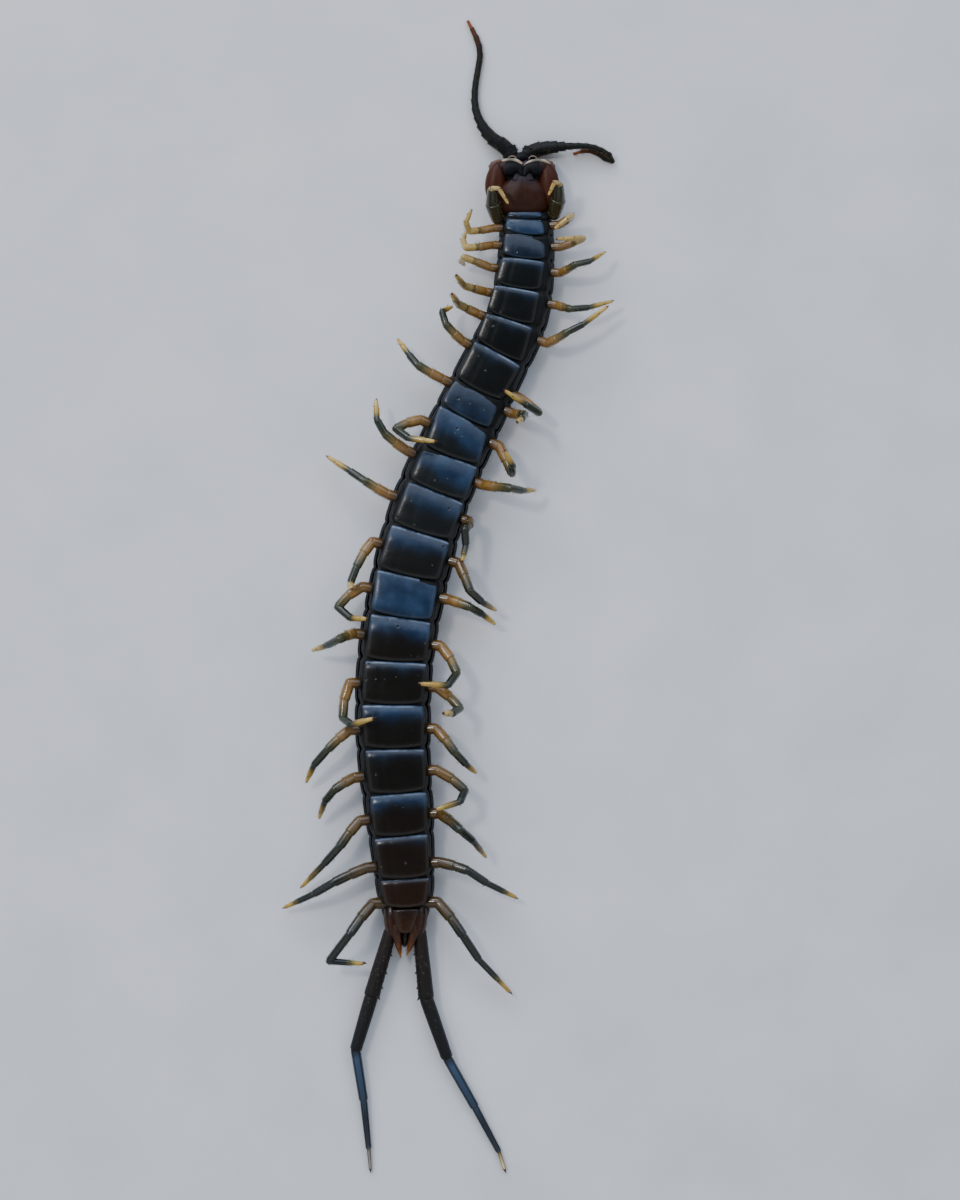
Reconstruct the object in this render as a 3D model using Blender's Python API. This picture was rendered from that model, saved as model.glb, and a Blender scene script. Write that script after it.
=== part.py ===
"""A Florida blue centipede lying on its back, life size.

Metres, +Z up. The back rests on the floor at z = 0, the belly faces up and the head
points to +Y, so the animal's own right side is on -X. Sizes below are in millimetres.
Places on the floor plan are read in pixels of a photo taken from straight above.
"""

import math

import bmesh
import bpy
import numpy as np
from mathutils import Vector

# Scale of the plan
MM = 0.001
PIXEL_SIZE = 0.075
ORIGIN_PIXEL = (448.46, 597.38)
JOINT_GAP = 0.3

# Fineness of the curves, and the angle above which an edge is shown sharp
ROUTE_STEPS = 12
SHARP_ANGLE = math.radians(50)

# Trunk: its middle line on the plan, then its segments from the neck to the tail
TRUNK_LINE = [(524, 190), (526.5, 250), (517.5, 315), (488, 376), (458, 438), (429, 505),
              (409, 580), (395, 660), (393, 745), (400, 825), (405, 895), (405, 970)]
TRUNK_FRONT = 1.75
SEGMENT_LENGTHS = [0.55, 1.1, 1.75, 2.3, 2.4, 2.6, 3.15, 2.35, 3.05, 2.95,
                   3.25, 3.35, 3.15, 3.35, 3.3, 3.3, 3.35, 3.15, 3.2, 2.3]
LENGTHS_OF_TRUNK = {"trunk_front": (1, 4), "trunk_second": (5, 8), "trunk_middle": (9, 12),
                    "trunk_fourth": (13, 16), "trunk_rear": (17, 20)}
SIZED_SEGMENTS = [1, 4, 7, 10, 12, 14, 16, 18, 20, 21]
TRUNK_WIDTHS = [3.9, 4.5, 5.1, 5.7, 6.0, 5.9, 5.8, 5.3, 4.4, 3.3]
TRUNK_HEIGHTS = [2.4, 2.7, 3.0, 3.1, 3.2, 3.2, 3.2, 3.0, 2.6, 2.2]

# Half of the trunk's cross-section, from the back to the belly, as fractions of the
# half width and of the height: back plate, its margin, flank, groove, belly plate
HALF_SECTION = [(0.50, 0.0), (0.82, 0.06), (1.0, 0.28), (0.92, 0.38), (0.95, 0.48),
                (0.86, 0.80), (0.77, 0.83), (0.73, 0.95), (0.42, 1.0)]
FLANK_FOOT = 4
FLANK_TOP = 5

# One segment's rings: place along it, width factor, depth of the groove between plates
SEGMENT_RINGS = [(0.0, 0.9, 0.16), (0.1, 0.97, 0.03), (0.35, 1.0, 0.0), (0.88, 1.0, 0.0)]
GROOVE_RING = SEGMENT_RINGS[0]

# Legs: how far along its segment a leg is rooted, by its pair, and those that differ
ROOTED_PAIRS = [1, 3, 5, 7, 9, 12, 15, 18, 20]
ROOT_PLACES = [0.3, 0.45, 0.3, 0.22, 0.33, 0.5, 0.58, 0.6, 0.88]
OTHER_ROOT_PLACES = {("left", 7): 0.8, ("right", 9): 0.55, ("left", 13): 0.4}

# Legs: how thick the articles are, and how far a thigh bows out
LEG_PAIRS = 20
FIRST_COXA_LENGTH = 0.1
COXA_LENGTH = 0.35
LEG_SIDES = 7
SIZED_LEGS = [1, 4, 9, 17, 20]
LEG_RADII = [0.29, 0.31, 0.38, 0.39, 0.41]
LEAST_RADIUS = 0.25
TIP_FACTOR = 0.45
BOW = 0.06

# Rings of a leg's thigh (coxa, prefemur, femur) and foot (tibia, tarsi, claw): place
# between the named joints, then the radius as a factor of the leg's own radius
THIGH_RINGS = [("coxa", 0.0, 0.92), ("coxa", 0.8, 0.98), ("prefemur", 0.12, 0.86),
               ("prefemur", 0.55, 1.0), ("femur", 0.0, 0.82), ("femur", 0.5, 0.9),
               ("femur", 0.94, 0.72), ("femur", 1.12, 0.42)]
FOOT_RINGS = [("tibia", -0.16, 0.4), ("tibia", 0.05, 0.68), ("tibia", 0.5, 0.76),
              ("tarsus", 0.0, 0.58), ("tarsus", 0.3, 0.56), ("tarsus", 0.62, 0.5),
              ("tarsus", 0.88, 0.4), ("tarsus", 1.0, 0.16)]

# Stance of the legs: knee, ankle and tip of each, as plan pixels with a height
LEGS_ON_THE_RIGHT = [
    ((489, 193, 3.3), (497, 192, 3.8), (509, 208, 3.7)),
    ((469, 232, 2.7), (466, 224, 3.2), (472, 211, 3.6)),
    ((466, 249, 3.0), (463, 241, 2.4), (466, 231, 1.6)),
    ((464, 258, 2.6), (461, 261, 1.6), (465, 264, 0.5)),
    ((464, 287, 3.3), (460, 283, 4.3), (456, 279, 5.7)),
    ((458, 305, 3.0), (455, 301, 4.1), (452, 297, 5.4)),
    ((446, 325, 2.8), (442, 312, 2.6), (453, 306, 1.7)),
    ((418, 366, 2.8), (409, 355, 2.5), (397, 338, 1.6)),
    ((396, 429, 2.6), (409, 439, 3.4), (438, 443, 4.0)),
    ((385, 434, 2.6), (377, 420, 2.6), (376, 398, 2.0)),
    ((365, 481, 2.4), (350, 471, 2.0), (325, 455, 1.0)),
    ((357, 567, 3.0), (351, 583, 3.2), (353, 590, 4.6)),
    ((338, 607, 2.4), (351, 618, 2.9), (369, 619, 3.6)),
    ((340, 639, 4.0), (328, 645, 3.0), (311, 651, 1.5)),
    ((343, 718, 2.6), (352, 724, 3.5), (376, 717, 4.2)),
    ((328, 749, 2.6), (314, 765, 2.0), (305, 784, 1.0)),
    ((335, 789, 2.8), (325, 801, 2.2), (318, 820, 1.0)),
    ((340, 846, 2.6), (324, 864, 2.0), (299, 890, 0.8)),
    ((334, 882, 2.4), (314, 894, 1.9), (281, 910, 0.8)),
    ((350, 933, 3.0), (329, 961, 2.2), (367, 964, 2.0)),
]
LEGS_ON_THE_LEFT = [
    ((560, 186, 3.3), (554, 186, 3.8), (547, 200, 3.6)),
    ((572, 217, 3.0), (567, 221, 3.8), (553, 232, 3.6)),
    ((583, 239, 2.6), (574, 240, 3.3), (555, 241, 3.5)),
    ((575, 266, 3.2), (590, 262, 2.8), (606, 251, 1.8)),
    ((570, 310, 3.0), (588, 308, 2.4), (615, 300, 1.5)),
    ((567, 333, 2.8), (583, 325, 2.7), (609, 306, 2.6)),
    ((539, 413, 2.4), (525, 405, 3.2), (503, 391, 4.0)),
    ((524, 416, 4.1), (521, 421, 5.0), (516, 425, 6.2)),
    ((512, 474, 3.0), (512, 466, 3.9), (504, 451, 4.6)),
    ((510, 489, 4.0), (522, 491, 3.1), (536, 490, 1.7)),
    ((465, 530, 3.3), (466, 545, 3.0), (462, 563, 3.4)),
    ((470, 591, 3.4), (482, 602, 3.0), (497, 611, 1.7)),
    ((470, 607, 3.0), (482, 614, 2.4), (496, 625, 1.4)),
    ((457, 673, 2.9), (448, 685, 3.7), (418, 683, 4.2)),
    ((460, 708, 2.8), (452, 713, 3.7), (443, 712, 4.9)),
    ((455, 752, 2.8), (466, 764, 2.3), (477, 774, 1.5)),
    ((465, 790, 2.6), (460, 801, 3.3), (434, 809, 3.8)),
    ((460, 828, 3.8), (473, 840, 2.9), (487, 859, 1.3)),
    ((468, 870, 2.6), (487, 883, 2.2), (519, 900, 1.0)),
    ((463, 935, 2.4), (479, 960, 1.9), (513, 997, 0.7)),
]
SIDES = {"right": (-1, LEGS_ON_THE_RIGHT), "left": (1, LEGS_ON_THE_LEFT)}

# Last pair of legs, trailing behind: joints from the root to the claw, and radii
LAST_LEG_JOINTS = {
    "right": [(387, 943, 1.15), (371, 998, 0.9), (355, 1052, 0.75), (363, 1103, 0.5),
              (368, 1152, 0.3), (370, 1177, 0.26)],
    "left": [(420.5, 943, 1.15), (426, 1000, 0.9), (447, 1060, 0.75), (475, 1110, 0.5),
             (499, 1155, 0.3), (506, 1177, 0.26)]}
LAST_LEG_RADII = [0.58, 0.46, 0.34, 0.27, 0.25]
LAST_LEG_RINGS = [(0.0, 0.84), (0.45, 1.0)]
LAST_LEG_CLAW_RADIUS = 0.12

# Tail end: place of each ring, its width and height factors and the depth of its groove,
# then the two pointed processes
TAIL_LENGTH = 2.1
TAIL_RINGS = [(0.0, 0.92, 0.96, 0.12), (0.12, 1.0, 1.0, 0.0), (0.6, 0.95, 1.0, 0.0),
              (0.8, 0.85, 0.97, 0.1), (1.0, 0.5, 0.88, 0.35)]
PROCESS_MARKS = {"right": [(397, 924, 1.35), (399, 942, 1.3), (401.2, 957, 1.2)],
                 "left": [(411, 924, 1.35), (408, 942, 1.3), (406.2, 955, 1.2)]}
PROCESS_RADII = [0.38, 0.26, 0.12]

# Head: head capsule below, shield of the venom claws above it
HEAD_MIDDLE = (522, 184.5)
HEAD_HALF_WIDTH = 2.1
HEAD_HALF_LENGTH = 2.0
HEAD_ROUNDNESS = 2.5
HEAD_LAYERS = [(0.0, 0.78), (0.2, 0.94), (0.5, 1.0), (0.8, 0.94), (0.95, 0.8)]
HEAD_POINTS = 24
SHIELD_OUTLINE = [(522, 178), (528, 175), (533, 179), (538, 185), (540, 192), (541, 200),
                  (541, 207), (536, 211), (522, 211.5), (508, 211), (503, 207), (503, 200),
                  (504, 192), (506, 185), (511, 179), (516, 175)]
SHIELD_LAYERS = [(1.3, 0.9), (1.7, 1.0), (2.2, 0.97), (2.5, 0.82), (2.65, 0.5)]
MAXILLA_OUTLINE = [(523, 164), (527, 158), (534, 155), (541, 157), (544, 163), (541, 168),
                   (533, 171), (522, 171.5), (511, 171), (504, 168), (501, 163), (505, 157),
                   (511, 155), (519, 158)]
MAXILLA_LAYERS = [(1.25, 0.92), (1.4, 1.0), (1.55, 0.85)]

# Venom claws: base, swollen outer article and curved fang
FORCIPULE_MARKS = {
    "right": [(496, 201, 1.7), (494.5, 195, 1.8), (492.5, 187, 1.95), (494, 176, 2.05),
              (499, 168, 2.15), (507, 164, 2.25), (515, 165, 2.35), (520.5, 168, 2.4)],
    "left": [(548.5, 201, 1.7), (549.5, 195, 1.8), (550.5, 187, 1.95), (549, 176, 2.05),
             (544, 168, 2.15), (537, 164, 2.25), (530, 165, 2.35), (525, 168, 2.4)]}
FORCIPULE_RADII = [0.26, 0.4, 0.55, 0.63, 0.54, 0.36, 0.26, 0.1]
FORCIPULE_SIDES = 10
FORCIPULE_SQUASH = 0.8

# Feelers: their routes from the brow to the tip, and radii along them
ANTENNA_MARKS = {
    "right": [(511, 153, 0.6), (508, 148, 0.65), (498, 140, 0.7), (488, 129, 0.65), (480, 118, 0.55),
              (475, 103, 0.4), (475, 85, 0.3), (478, 66, 0.27), (480, 50, 0.27), (477, 36, 0.27),
              (468, 18, 0.25)],
    "left": [(528, 152, 0.6), (533, 149, 0.65), (549, 147, 0.75), (565, 146, 0.85),
             (580, 144, 0.95), (595, 147, 0.95), (606, 152, 0.9), (613, 157, 0.6),
             (608, 159, 0.3), (597, 155, 0.27), (586, 150, 0.27), (575, 151, 0.27)]}
ANTENNA_ARTICLES = 17
ANTENNA_SIDES = 6
ANTENNA_RADII_AT = [0.0, 0.08, 0.2, 0.35, 0.9, 1.0]
ANTENNA_RADII = [0.45, 0.57, 0.44, 0.3, 0.25, 0.12]
ARTICLE_RINGS = [(0.0, 0.86), (0.6, 1.0)]

# Eyes: simple eyes on a pad at each front corner of the head
EYES_ON_A_SIDE = 4
EYE_MIDDLES = {"right": (492.5, 163.5, 0.55), "left": (551.5, 163.5, 0.55)}
EYE_PAD_RADIUS = 0.24
EYE_RADIUS = 0.13
EYE_SPREAD = 0.17

# Colours, roughness and metallic value of each material
SHELL_LOOKS = ((0.02, 0.035, 0.055, 1), 0.22, 0.0)
TAIL_LOOKS = ((0.16, 0.05, 0.015, 1), 0.3, 0.0)
HEAD_LOOKS = ((0.09, 0.025, 0.015, 1), 0.28, 0.0)
FANG_LOOKS = ((0.11, 0.03, 0.015, 1), 0.25, 0.0)
MAXILLA_LOOKS = ((0.5, 0.38, 0.26, 1), 0.4, 0.0)
FEELER_LOOKS = ((0.015, 0.025, 0.022, 1), 0.35, 0.0)
EYE_LOOKS = ((0.005, 0.005, 0.005, 1), 0.1, 0.0)
LEG_LOOKS = ((0.3, 0.2, 0.05, 1), 0.3, 0.0)
LAST_LEG_LOOKS = ((0.02, 0.018, 0.03, 1), 0.3, 0.0)


def plan(x, y, height=0.0):
    """Point in millimetres above a pixel of the plan."""
    east = (x - ORIGIN_PIXEL[0]) * PIXEL_SIZE
    north = (ORIGIN_PIXEL[1] - y) * PIXEL_SIZE
    return Vector((east, north, height))


def smooth_route(points):
    """Points of a smooth curve that passes through the given ones."""
    route = []
    padded = [points[0] * 2 - points[1]] + points + [points[-1] * 2 - points[-2]]
    for before, start, end, after in zip(padded, padded[1:], padded[2:], padded[3:]):
        for step in range(ROUTE_STEPS):
            t = step / ROUTE_STEPS
            route.append(0.5 * (2 * start + (end - before) * t
                                + (2 * before - 5 * start + 4 * end - after) * t ** 2
                                + (3 * start - before - 3 * end + after) * t ** 3))
    route.append(points[-1])
    return route


class Line:
    """A route that gives its point and direction at any distance from its start."""

    def __init__(self, points):
        self.places = np.array([list(point) for point in points])
        steps = np.linalg.norm(np.diff(self.places, axis=0), axis=1)
        self.distances = np.concatenate([[0.0], np.cumsum(steps)])
        self.length = float(self.distances[-1])

    def point(self, distance):
        last = len(self.distances) - 2
        step = int(np.clip(np.searchsorted(self.distances, distance) - 1, 0, last))
        start, end = self.distances[step], self.distances[step + 1]
        share = (distance - start) / (end - start)
        place = self.places[step] + (self.places[step + 1] - self.places[step]) * share
        return Vector(place)

    def direction(self, distance, reach=0.1):
        return (self.point(distance + reach) - self.point(distance - reach)).normalized()


def make_material(name, looks):
    material = bpy.data.materials.new(name)
    material.use_nodes = True
    shader = material.node_tree.nodes["Principled BSDF"]
    colour, roughness, metallic = looks
    shader.inputs["Base Color"].default_value = colour
    shader.inputs["Roughness"].default_value = roughness
    shader.inputs["Metallic"].default_value = metallic
    material.diffuse_color = colour
    return material


def loft(name, rings, material=None, tip=None):
    """Closed object through rings of points in millimetres, with flat or pointed ends."""
    shape = bmesh.new()
    loops = [[shape.verts.new(point * MM) for point in ring] for ring in rings]
    for ring, following in zip(loops, loops[1:]):
        for index, corner in enumerate(ring):
            beside = (index + 1) % len(ring)
            shape.faces.new((corner, ring[beside], following[beside], following[index]))
    shape.faces.new(list(reversed(loops[0])))
    if tip is None:
        shape.faces.new(loops[-1])
    else:
        point = shape.verts.new(tip * MM)
        for index, corner in enumerate(loops[-1]):
            shape.faces.new((corner, loops[-1][(index + 1) % len(loops[-1])], point))
    bmesh.ops.recalc_face_normals(shape, faces=shape.faces)
    mesh = bpy.data.meshes.new(name)
    shape.to_mesh(mesh)
    shape.free()
    mesh.shade_smooth()
    mesh.set_sharp_from_angle(angle=SHARP_ANGLE)
    part = bpy.data.objects.new(name, mesh)
    bpy.context.scene.collection.objects.link(part)
    if material:
        mesh.materials.append(material)
    return part


def round_rings(points, radii, sides, squash=1.0):
    """Rings around a route, square to it, their height scaled by the squash."""
    rings = []
    across = None
    for index, (point, radius) in enumerate(zip(points, radii)):
        before = points[max(index - 1, 0)]
        after = points[min(index + 1, len(points) - 1)]
        incoming = (point - before).normalized() if index else (after - point).normalized()
        outgoing = (after - point).normalized() if index < len(points) - 1 else incoming
        along = (incoming + outgoing).normalized()
        if across is None:
            across = along.cross(Vector((0, 0, 1)))
        across = (across - along * across.dot(along)).normalized()
        over = along.cross(across)
        ring = []
        for side in range(sides):
            turn = 2 * math.pi * side / sides
            spoke = radius * (math.cos(turn) * across + math.sin(turn) * over)
            spoke.z *= squash
            ring.append(point + spoke)
        rings.append(ring)
    return rings


def tube(name, points, radii, sides, material=None, squash=1.0):
    return loft(name, round_rings(points, radii, sides, squash), material)


def layered(name, outline, middle, layers, material):
    """Closed plate of stacked outlines, each scaled about the middle at its height."""
    rings = []
    for height, scale in layers:
        rings.append([Vector((middle.x + (point.x - middle.x) * scale,
                              middle.y + (point.y - middle.y) * scale, height))
                      for point in outline])
    return loft(name, rings, material)


def fuse(name, pieces, material):
    """Join overlapping closed objects into one body and keep its largest surface."""
    base, others = pieces[0], pieces[1:]
    group = bpy.data.collections.new(name + "_pieces")
    bpy.context.scene.collection.children.link(group)
    for piece in others:
        bpy.context.scene.collection.objects.unlink(piece)
        group.objects.link(piece)
    union = base.modifiers.new("union", "BOOLEAN")
    union.operation = "UNION"
    union.operand_type = "COLLECTION"
    union.collection = group
    evaluated = base.evaluated_get(bpy.context.evaluated_depsgraph_get())
    mesh = bpy.data.meshes.new_from_object(evaluated)
    for piece in others:
        bpy.data.objects.remove(piece)
    bpy.data.collections.remove(group)
    base.modifiers.clear()
    base.data = mesh
    base.name = name
    keep_largest_surface(mesh)
    mesh.materials.clear()
    mesh.materials.append(material)
    mesh.shade_smooth()
    mesh.set_sharp_from_angle(angle=SHARP_ANGLE)
    return base


def keep_largest_surface(mesh):
    shape = bmesh.new()
    shape.from_mesh(mesh)
    unseen = set(shape.verts)
    surfaces = []
    while unseen:
        surface = {unseen.pop()}
        edge_of_surface = list(surface)
        while edge_of_surface:
            vertex = edge_of_surface.pop()
            for edge in vertex.link_edges:
                neighbour = edge.other_vert(vertex)
                if neighbour in unseen:
                    unseen.remove(neighbour)
                    surface.add(neighbour)
                    edge_of_surface.append(neighbour)
        surfaces.append(surface)
    largest = max(surfaces, key=len)
    scraps = [vertex for vertex in shape.verts if vertex not in largest]
    bmesh.ops.delete(shape, geom=scraps, context="VERTS")
    shape.to_mesh(mesh)
    shape.free()


def trunk_size(segment, place):
    """Width and height of the trunk at a place along one of its segments."""
    width = float(np.interp(segment + place - 0.5, SIZED_SEGMENTS, TRUNK_WIDTHS))
    height = float(np.interp(segment + place - 0.5, SIZED_SEGMENTS, TRUNK_HEIGHTS))
    return width, height


def segment_front(segment):
    return TRUNK_FRONT + sum(SEGMENT_LENGTHS[:segment - 1])


def towards_left(distance):
    """Level direction square to the trunk, towards the animal's own left side."""
    return Vector((0, 0, 1)).cross(TRUNK.direction(distance))


def trunk_ring(distance, width, height, groove):
    """Cross-section of the trunk, its plates sunk by the groove."""
    middle = TRUNK.point(distance)
    east = towards_left(distance)
    half = []
    for side, rise in HALF_SECTION:
        level = groove + rise * (height - 2 * groove)
        half.append((side * width / 2, level))
    ring = [middle + east * side + Vector((0, 0, level)) for side, level in half]
    ring += [middle - east * side + Vector((0, 0, level)) for side, level in reversed(half)]
    return ring


def build_trunk_length(name, first, last, material):
    """Four segments in one body, their back and belly plates parted by grooves."""
    rings = []
    for segment in range(first, last + 1):
        start = segment_front(segment)
        length = SEGMENT_LENGTHS[segment - 1]
        stations = SEGMENT_RINGS + ([(1.0,) + GROOVE_RING[1:]] if segment == last else [])
        for place, breadth, groove in stations:
            width, height = trunk_size(segment, place)
            distance = start + place * length
            if segment == first and place == 0.0:
                distance += JOINT_GAP / 2
            if place == 1.0:
                distance -= JOINT_GAP / 2
            rings.append(trunk_ring(distance, width * breadth, height, groove))
    return loft(name, rings, material)


def flank(segment, side, place):
    """Middle of the flat flank that a leg grows from, and the way it faces."""
    distance = segment_front(segment) + place * SEGMENT_LENGTHS[segment - 1]
    width, height = trunk_size(segment, place)
    outward = towards_left(distance) * side
    corners = []
    for index in (FLANK_FOOT, FLANK_TOP):
        reach, rise = HALF_SECTION[index]
        corners.append(TRUNK.point(distance) + outward * reach * width / 2
                       + Vector((0, 0, rise * height)))
    foot, top = corners
    along_flank = (top - foot).normalized()
    facing = (outward - along_flank * outward.dot(along_flank)).normalized()
    return (foot + top) / 2, facing


def bowed_middle(start, end, incoming, outgoing):
    """Point between two joints, pushed to the outer side of the leg's bend."""
    return (start + end) / 2 + (incoming - outgoing) * (end - start).length * BOW


def leg_joints(pair, side_name):
    """Ends of a leg's articles from the flank to the tip of the claw."""
    side, stances = SIDES[side_name]
    usual_place = float(np.interp(pair, ROOTED_PAIRS, ROOT_PLACES))
    root, facing = flank(pair, side, OTHER_ROOT_PLACES.get((side_name, pair), usual_place))
    start = root + facing * JOINT_GAP
    socket = start + facing * (FIRST_COXA_LENGTH if pair == 1 else COXA_LENGTH)
    knee, ankle, tip = [plan(*mark) for mark in stances[pair - 1]]
    thigh_way = (knee - socket).normalized()
    foot_way = (ankle - knee).normalized()
    middle = bowed_middle(socket, knee, (facing + thigh_way).normalized(),
                          (thigh_way + foot_way).normalized())
    return {"coxa": (start, socket), "prefemur": (socket, middle), "femur": (middle, knee),
            "tibia": (knee, ankle), "tarsus": (ankle, tip)}


def article_tube(name, joints, rings, radius):
    points = []
    radii = []
    for article, place, factor in rings:
        start, end = joints[article]
        points.append(start + (end - start) * place)
        least = 0.0 if factor < TIP_FACTOR else LEAST_RADIUS
        radii.append(max(radius * factor, least))
    return tube(name, points, radii, LEG_SIDES)


def build_leg(pair, side_name, material):
    name = f"leg_{side_name}_{pair:02d}"
    radius = float(np.interp(pair, SIZED_LEGS, LEG_RADII))
    joints = leg_joints(pair, side_name)
    thigh = article_tube(name, joints, THIGH_RINGS, radius)
    foot = article_tube(name + "_foot", joints, FOOT_RINGS, radius)
    return fuse(name, [thigh, foot], material)


def build_last_leg(side_name, material):
    """One of the long legs that trail from the tail, resting close to the floor."""
    marks = [plan(*mark) for mark in LAST_LEG_JOINTS[side_name]]
    points = []
    radii = []
    for index, radius in enumerate(LAST_LEG_RADII):
        start, end = marks[index], marks[index + 1]
        for place, factor in LAST_LEG_RINGS:
            points.append(start + (end - start) * place)
            radii.append(radius * factor)
    points.append(marks[-1])
    radii.append(LAST_LEG_CLAW_RADIUS)
    return tube(f"leg_{side_name}_21", points, radii, LEG_SIDES, material)


def build_tail(material):
    """Last segment, with the two pointed processes that stand beside the vent."""
    start = segment_front(21) + JOINT_GAP / 2
    width, height = trunk_size(21, 0.5)
    rings = [trunk_ring(start + place * TAIL_LENGTH, width * breadth, height * rise, groove)
             for place, breadth, rise, groove in TAIL_RINGS]
    pieces = [loft("terminal_segment", rings)]
    for side_name, marks in PROCESS_MARKS.items():
        points = [plan(*mark) for mark in marks]
        pieces.append(tube("process_" + side_name, points, PROCESS_RADII, LEG_SIDES))
    return fuse("terminal_segment", pieces, material)


def build_head(material):
    """Flat round head capsule, lying on its own back plate."""
    middle = plan(*HEAD_MIDDLE)
    outline = []
    for index in range(HEAD_POINTS):
        turn = 2 * math.pi * index / HEAD_POINTS
        power = 2 / HEAD_ROUNDNESS
        across = math.copysign(abs(math.cos(turn)) ** power, math.cos(turn))
        forward = math.copysign(abs(math.sin(turn)) ** power, math.sin(turn))
        outline.append(middle + Vector((across * HEAD_HALF_WIDTH, forward * HEAD_HALF_LENGTH, 0)))
    return layered("head", outline, middle, HEAD_LAYERS, material)


def build_plate(name, pixels, layers, material):
    outline = [plan(*pixel) for pixel in pixels]
    middle = sum(outline, Vector()) / len(outline)
    return layered(name, outline, middle, layers, material)


def build_forcipule(side_name, material):
    points = [plan(*mark) for mark in FORCIPULE_MARKS[side_name]]
    return tube("forcipule_" + side_name, points, FORCIPULE_RADII, FORCIPULE_SIDES, material,
                FORCIPULE_SQUASH)


def build_antenna(side_name, material):
    """Feeler of many articles, each swelling from its waist towards its far end."""
    route = Line(smooth_route([plan(*mark) for mark in ANTENNA_MARKS[side_name]]))
    points = []
    radii = []
    for article in range(ANTENNA_ARTICLES):
        for share, swelling in ARTICLE_RINGS:
            place = (article + share) / ANTENNA_ARTICLES
            points.append(route.point(place * route.length))
            radii.append(float(np.interp(place, ANTENNA_RADII_AT, ANTENNA_RADII)) * swelling)
    points.append(route.point(route.length))
    radii.append(ANTENNA_RADII[-1])
    return tube("antenna_" + side_name, points, radii, ANTENNA_SIDES, material)


def ball(name, middle, radius):
    shape = bmesh.new()
    bmesh.ops.create_icosphere(shape, subdivisions=1, radius=radius * MM)
    bmesh.ops.translate(shape, verts=shape.verts, vec=middle * MM)
    mesh = bpy.data.meshes.new(name)
    shape.to_mesh(mesh)
    shape.free()
    part = bpy.data.objects.new(name, mesh)
    bpy.context.scene.collection.objects.link(part)
    return part


def build_eyes(side_name, material):
    """Four simple eyes on one pad, at the head's front corner."""
    middle = plan(*EYE_MIDDLES[side_name])
    name = "eyes_" + side_name
    pieces = [ball(name, middle, EYE_PAD_RADIUS)]
    outward = (middle - plan(*HEAD_MIDDLE, middle.z)).normalized()
    sideways = outward.cross(Vector((0, 0, 1)))
    for index in range(EYES_ON_A_SIDE):
        turn = 2 * math.pi * (index + 0.5) / EYES_ON_A_SIDE
        offset = sideways * math.cos(turn) + Vector((0, 0, math.sin(turn)))
        place = middle + outward * EYE_SPREAD + offset * EYE_SPREAD
        pieces.append(ball(f"{name}_{index}", place, EYE_RADIUS))
    return fuse(name, pieces, material)


def clear_scene():
    for item in list(bpy.data.objects):
        bpy.data.objects.remove(item, do_unlink=True)


clear_scene()
TRUNK = Line(smooth_route([plan(*mark) for mark in TRUNK_LINE]))
shell = make_material("blue_black_shell", SHELL_LOOKS)
for trunk_name, (first_segment, last_segment) in LENGTHS_OF_TRUNK.items():
    build_trunk_length(trunk_name, first_segment, last_segment, shell)
build_tail(make_material("red_brown_tail", TAIL_LOOKS))
head_brown = make_material("head_brown", HEAD_LOOKS)
build_head(head_brown)
build_plate("forcipular_shield", SHIELD_OUTLINE, SHIELD_LAYERS, head_brown)
build_plate("maxillae", MAXILLA_OUTLINE, MAXILLA_LAYERS, make_material("pale_mouth", MAXILLA_LOOKS))
fang_brown = make_material("fang_brown", FANG_LOOKS)
feeler_black = make_material("feeler_black", FEELER_LOOKS)
eye_black = make_material("eye_black", EYE_LOOKS)
leg_amber = make_material("leg_amber", LEG_LOOKS)
last_leg_black = make_material("last_leg_black", LAST_LEG_LOOKS)
for name_of_side in SIDES:
    build_forcipule(name_of_side, fang_brown)
    build_antenna(name_of_side, feeler_black)
    build_eyes(name_of_side, eye_black)
    for leg_pair in range(1, LEG_PAIRS + 1):
        build_leg(leg_pair, name_of_side, leg_amber)
    build_last_leg(name_of_side, last_leg_black)
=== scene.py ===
"""Looks of a Florida blue centipede lying on its back, life size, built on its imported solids."""

import math

import bmesh
import bpy
import numpy as np
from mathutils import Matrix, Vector


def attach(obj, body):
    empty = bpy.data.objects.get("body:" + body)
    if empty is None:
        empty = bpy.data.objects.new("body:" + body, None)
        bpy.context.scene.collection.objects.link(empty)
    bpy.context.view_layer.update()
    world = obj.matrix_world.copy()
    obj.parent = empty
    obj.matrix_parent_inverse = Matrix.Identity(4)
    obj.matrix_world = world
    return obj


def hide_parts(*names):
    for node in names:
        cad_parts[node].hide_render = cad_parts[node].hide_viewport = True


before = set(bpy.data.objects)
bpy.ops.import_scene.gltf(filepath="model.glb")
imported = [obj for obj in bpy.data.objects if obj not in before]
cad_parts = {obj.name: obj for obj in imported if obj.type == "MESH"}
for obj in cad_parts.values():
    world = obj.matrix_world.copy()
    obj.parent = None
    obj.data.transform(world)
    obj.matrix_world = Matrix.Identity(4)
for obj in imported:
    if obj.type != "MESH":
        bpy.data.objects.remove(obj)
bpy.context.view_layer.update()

# Trunk skin: the soft leathery membrane that joins the plates of all the segments. It is
# blue-black, folded along the flanks, drawn in between segments and raised into a low
# mound at the root of each leg.
MM = 0.001
PIXEL_SIZE = 0.075
ORIGIN_PIXEL = (448.46, 597.38)
ROUTE_STEPS = 12
DIRECTION_REACH = 0.1
TRUNK_LINE = [(524, 190), (526.5, 250), (517.5, 315), (488, 376), (458, 438), (429, 505),
              (409, 580), (395, 660), (393, 745), (400, 825), (405, 895), (405, 970)]
TRUNK_FRONT = 1.75
SEGMENTS = 20
SEGMENT_LENGTHS = [0.55, 1.1, 1.75, 2.3, 2.4, 2.6, 3.15, 2.35, 3.05, 2.95,
                   3.25, 3.35, 3.15, 3.35, 3.3, 3.3, 3.35, 3.15, 3.2, 2.3]
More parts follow.
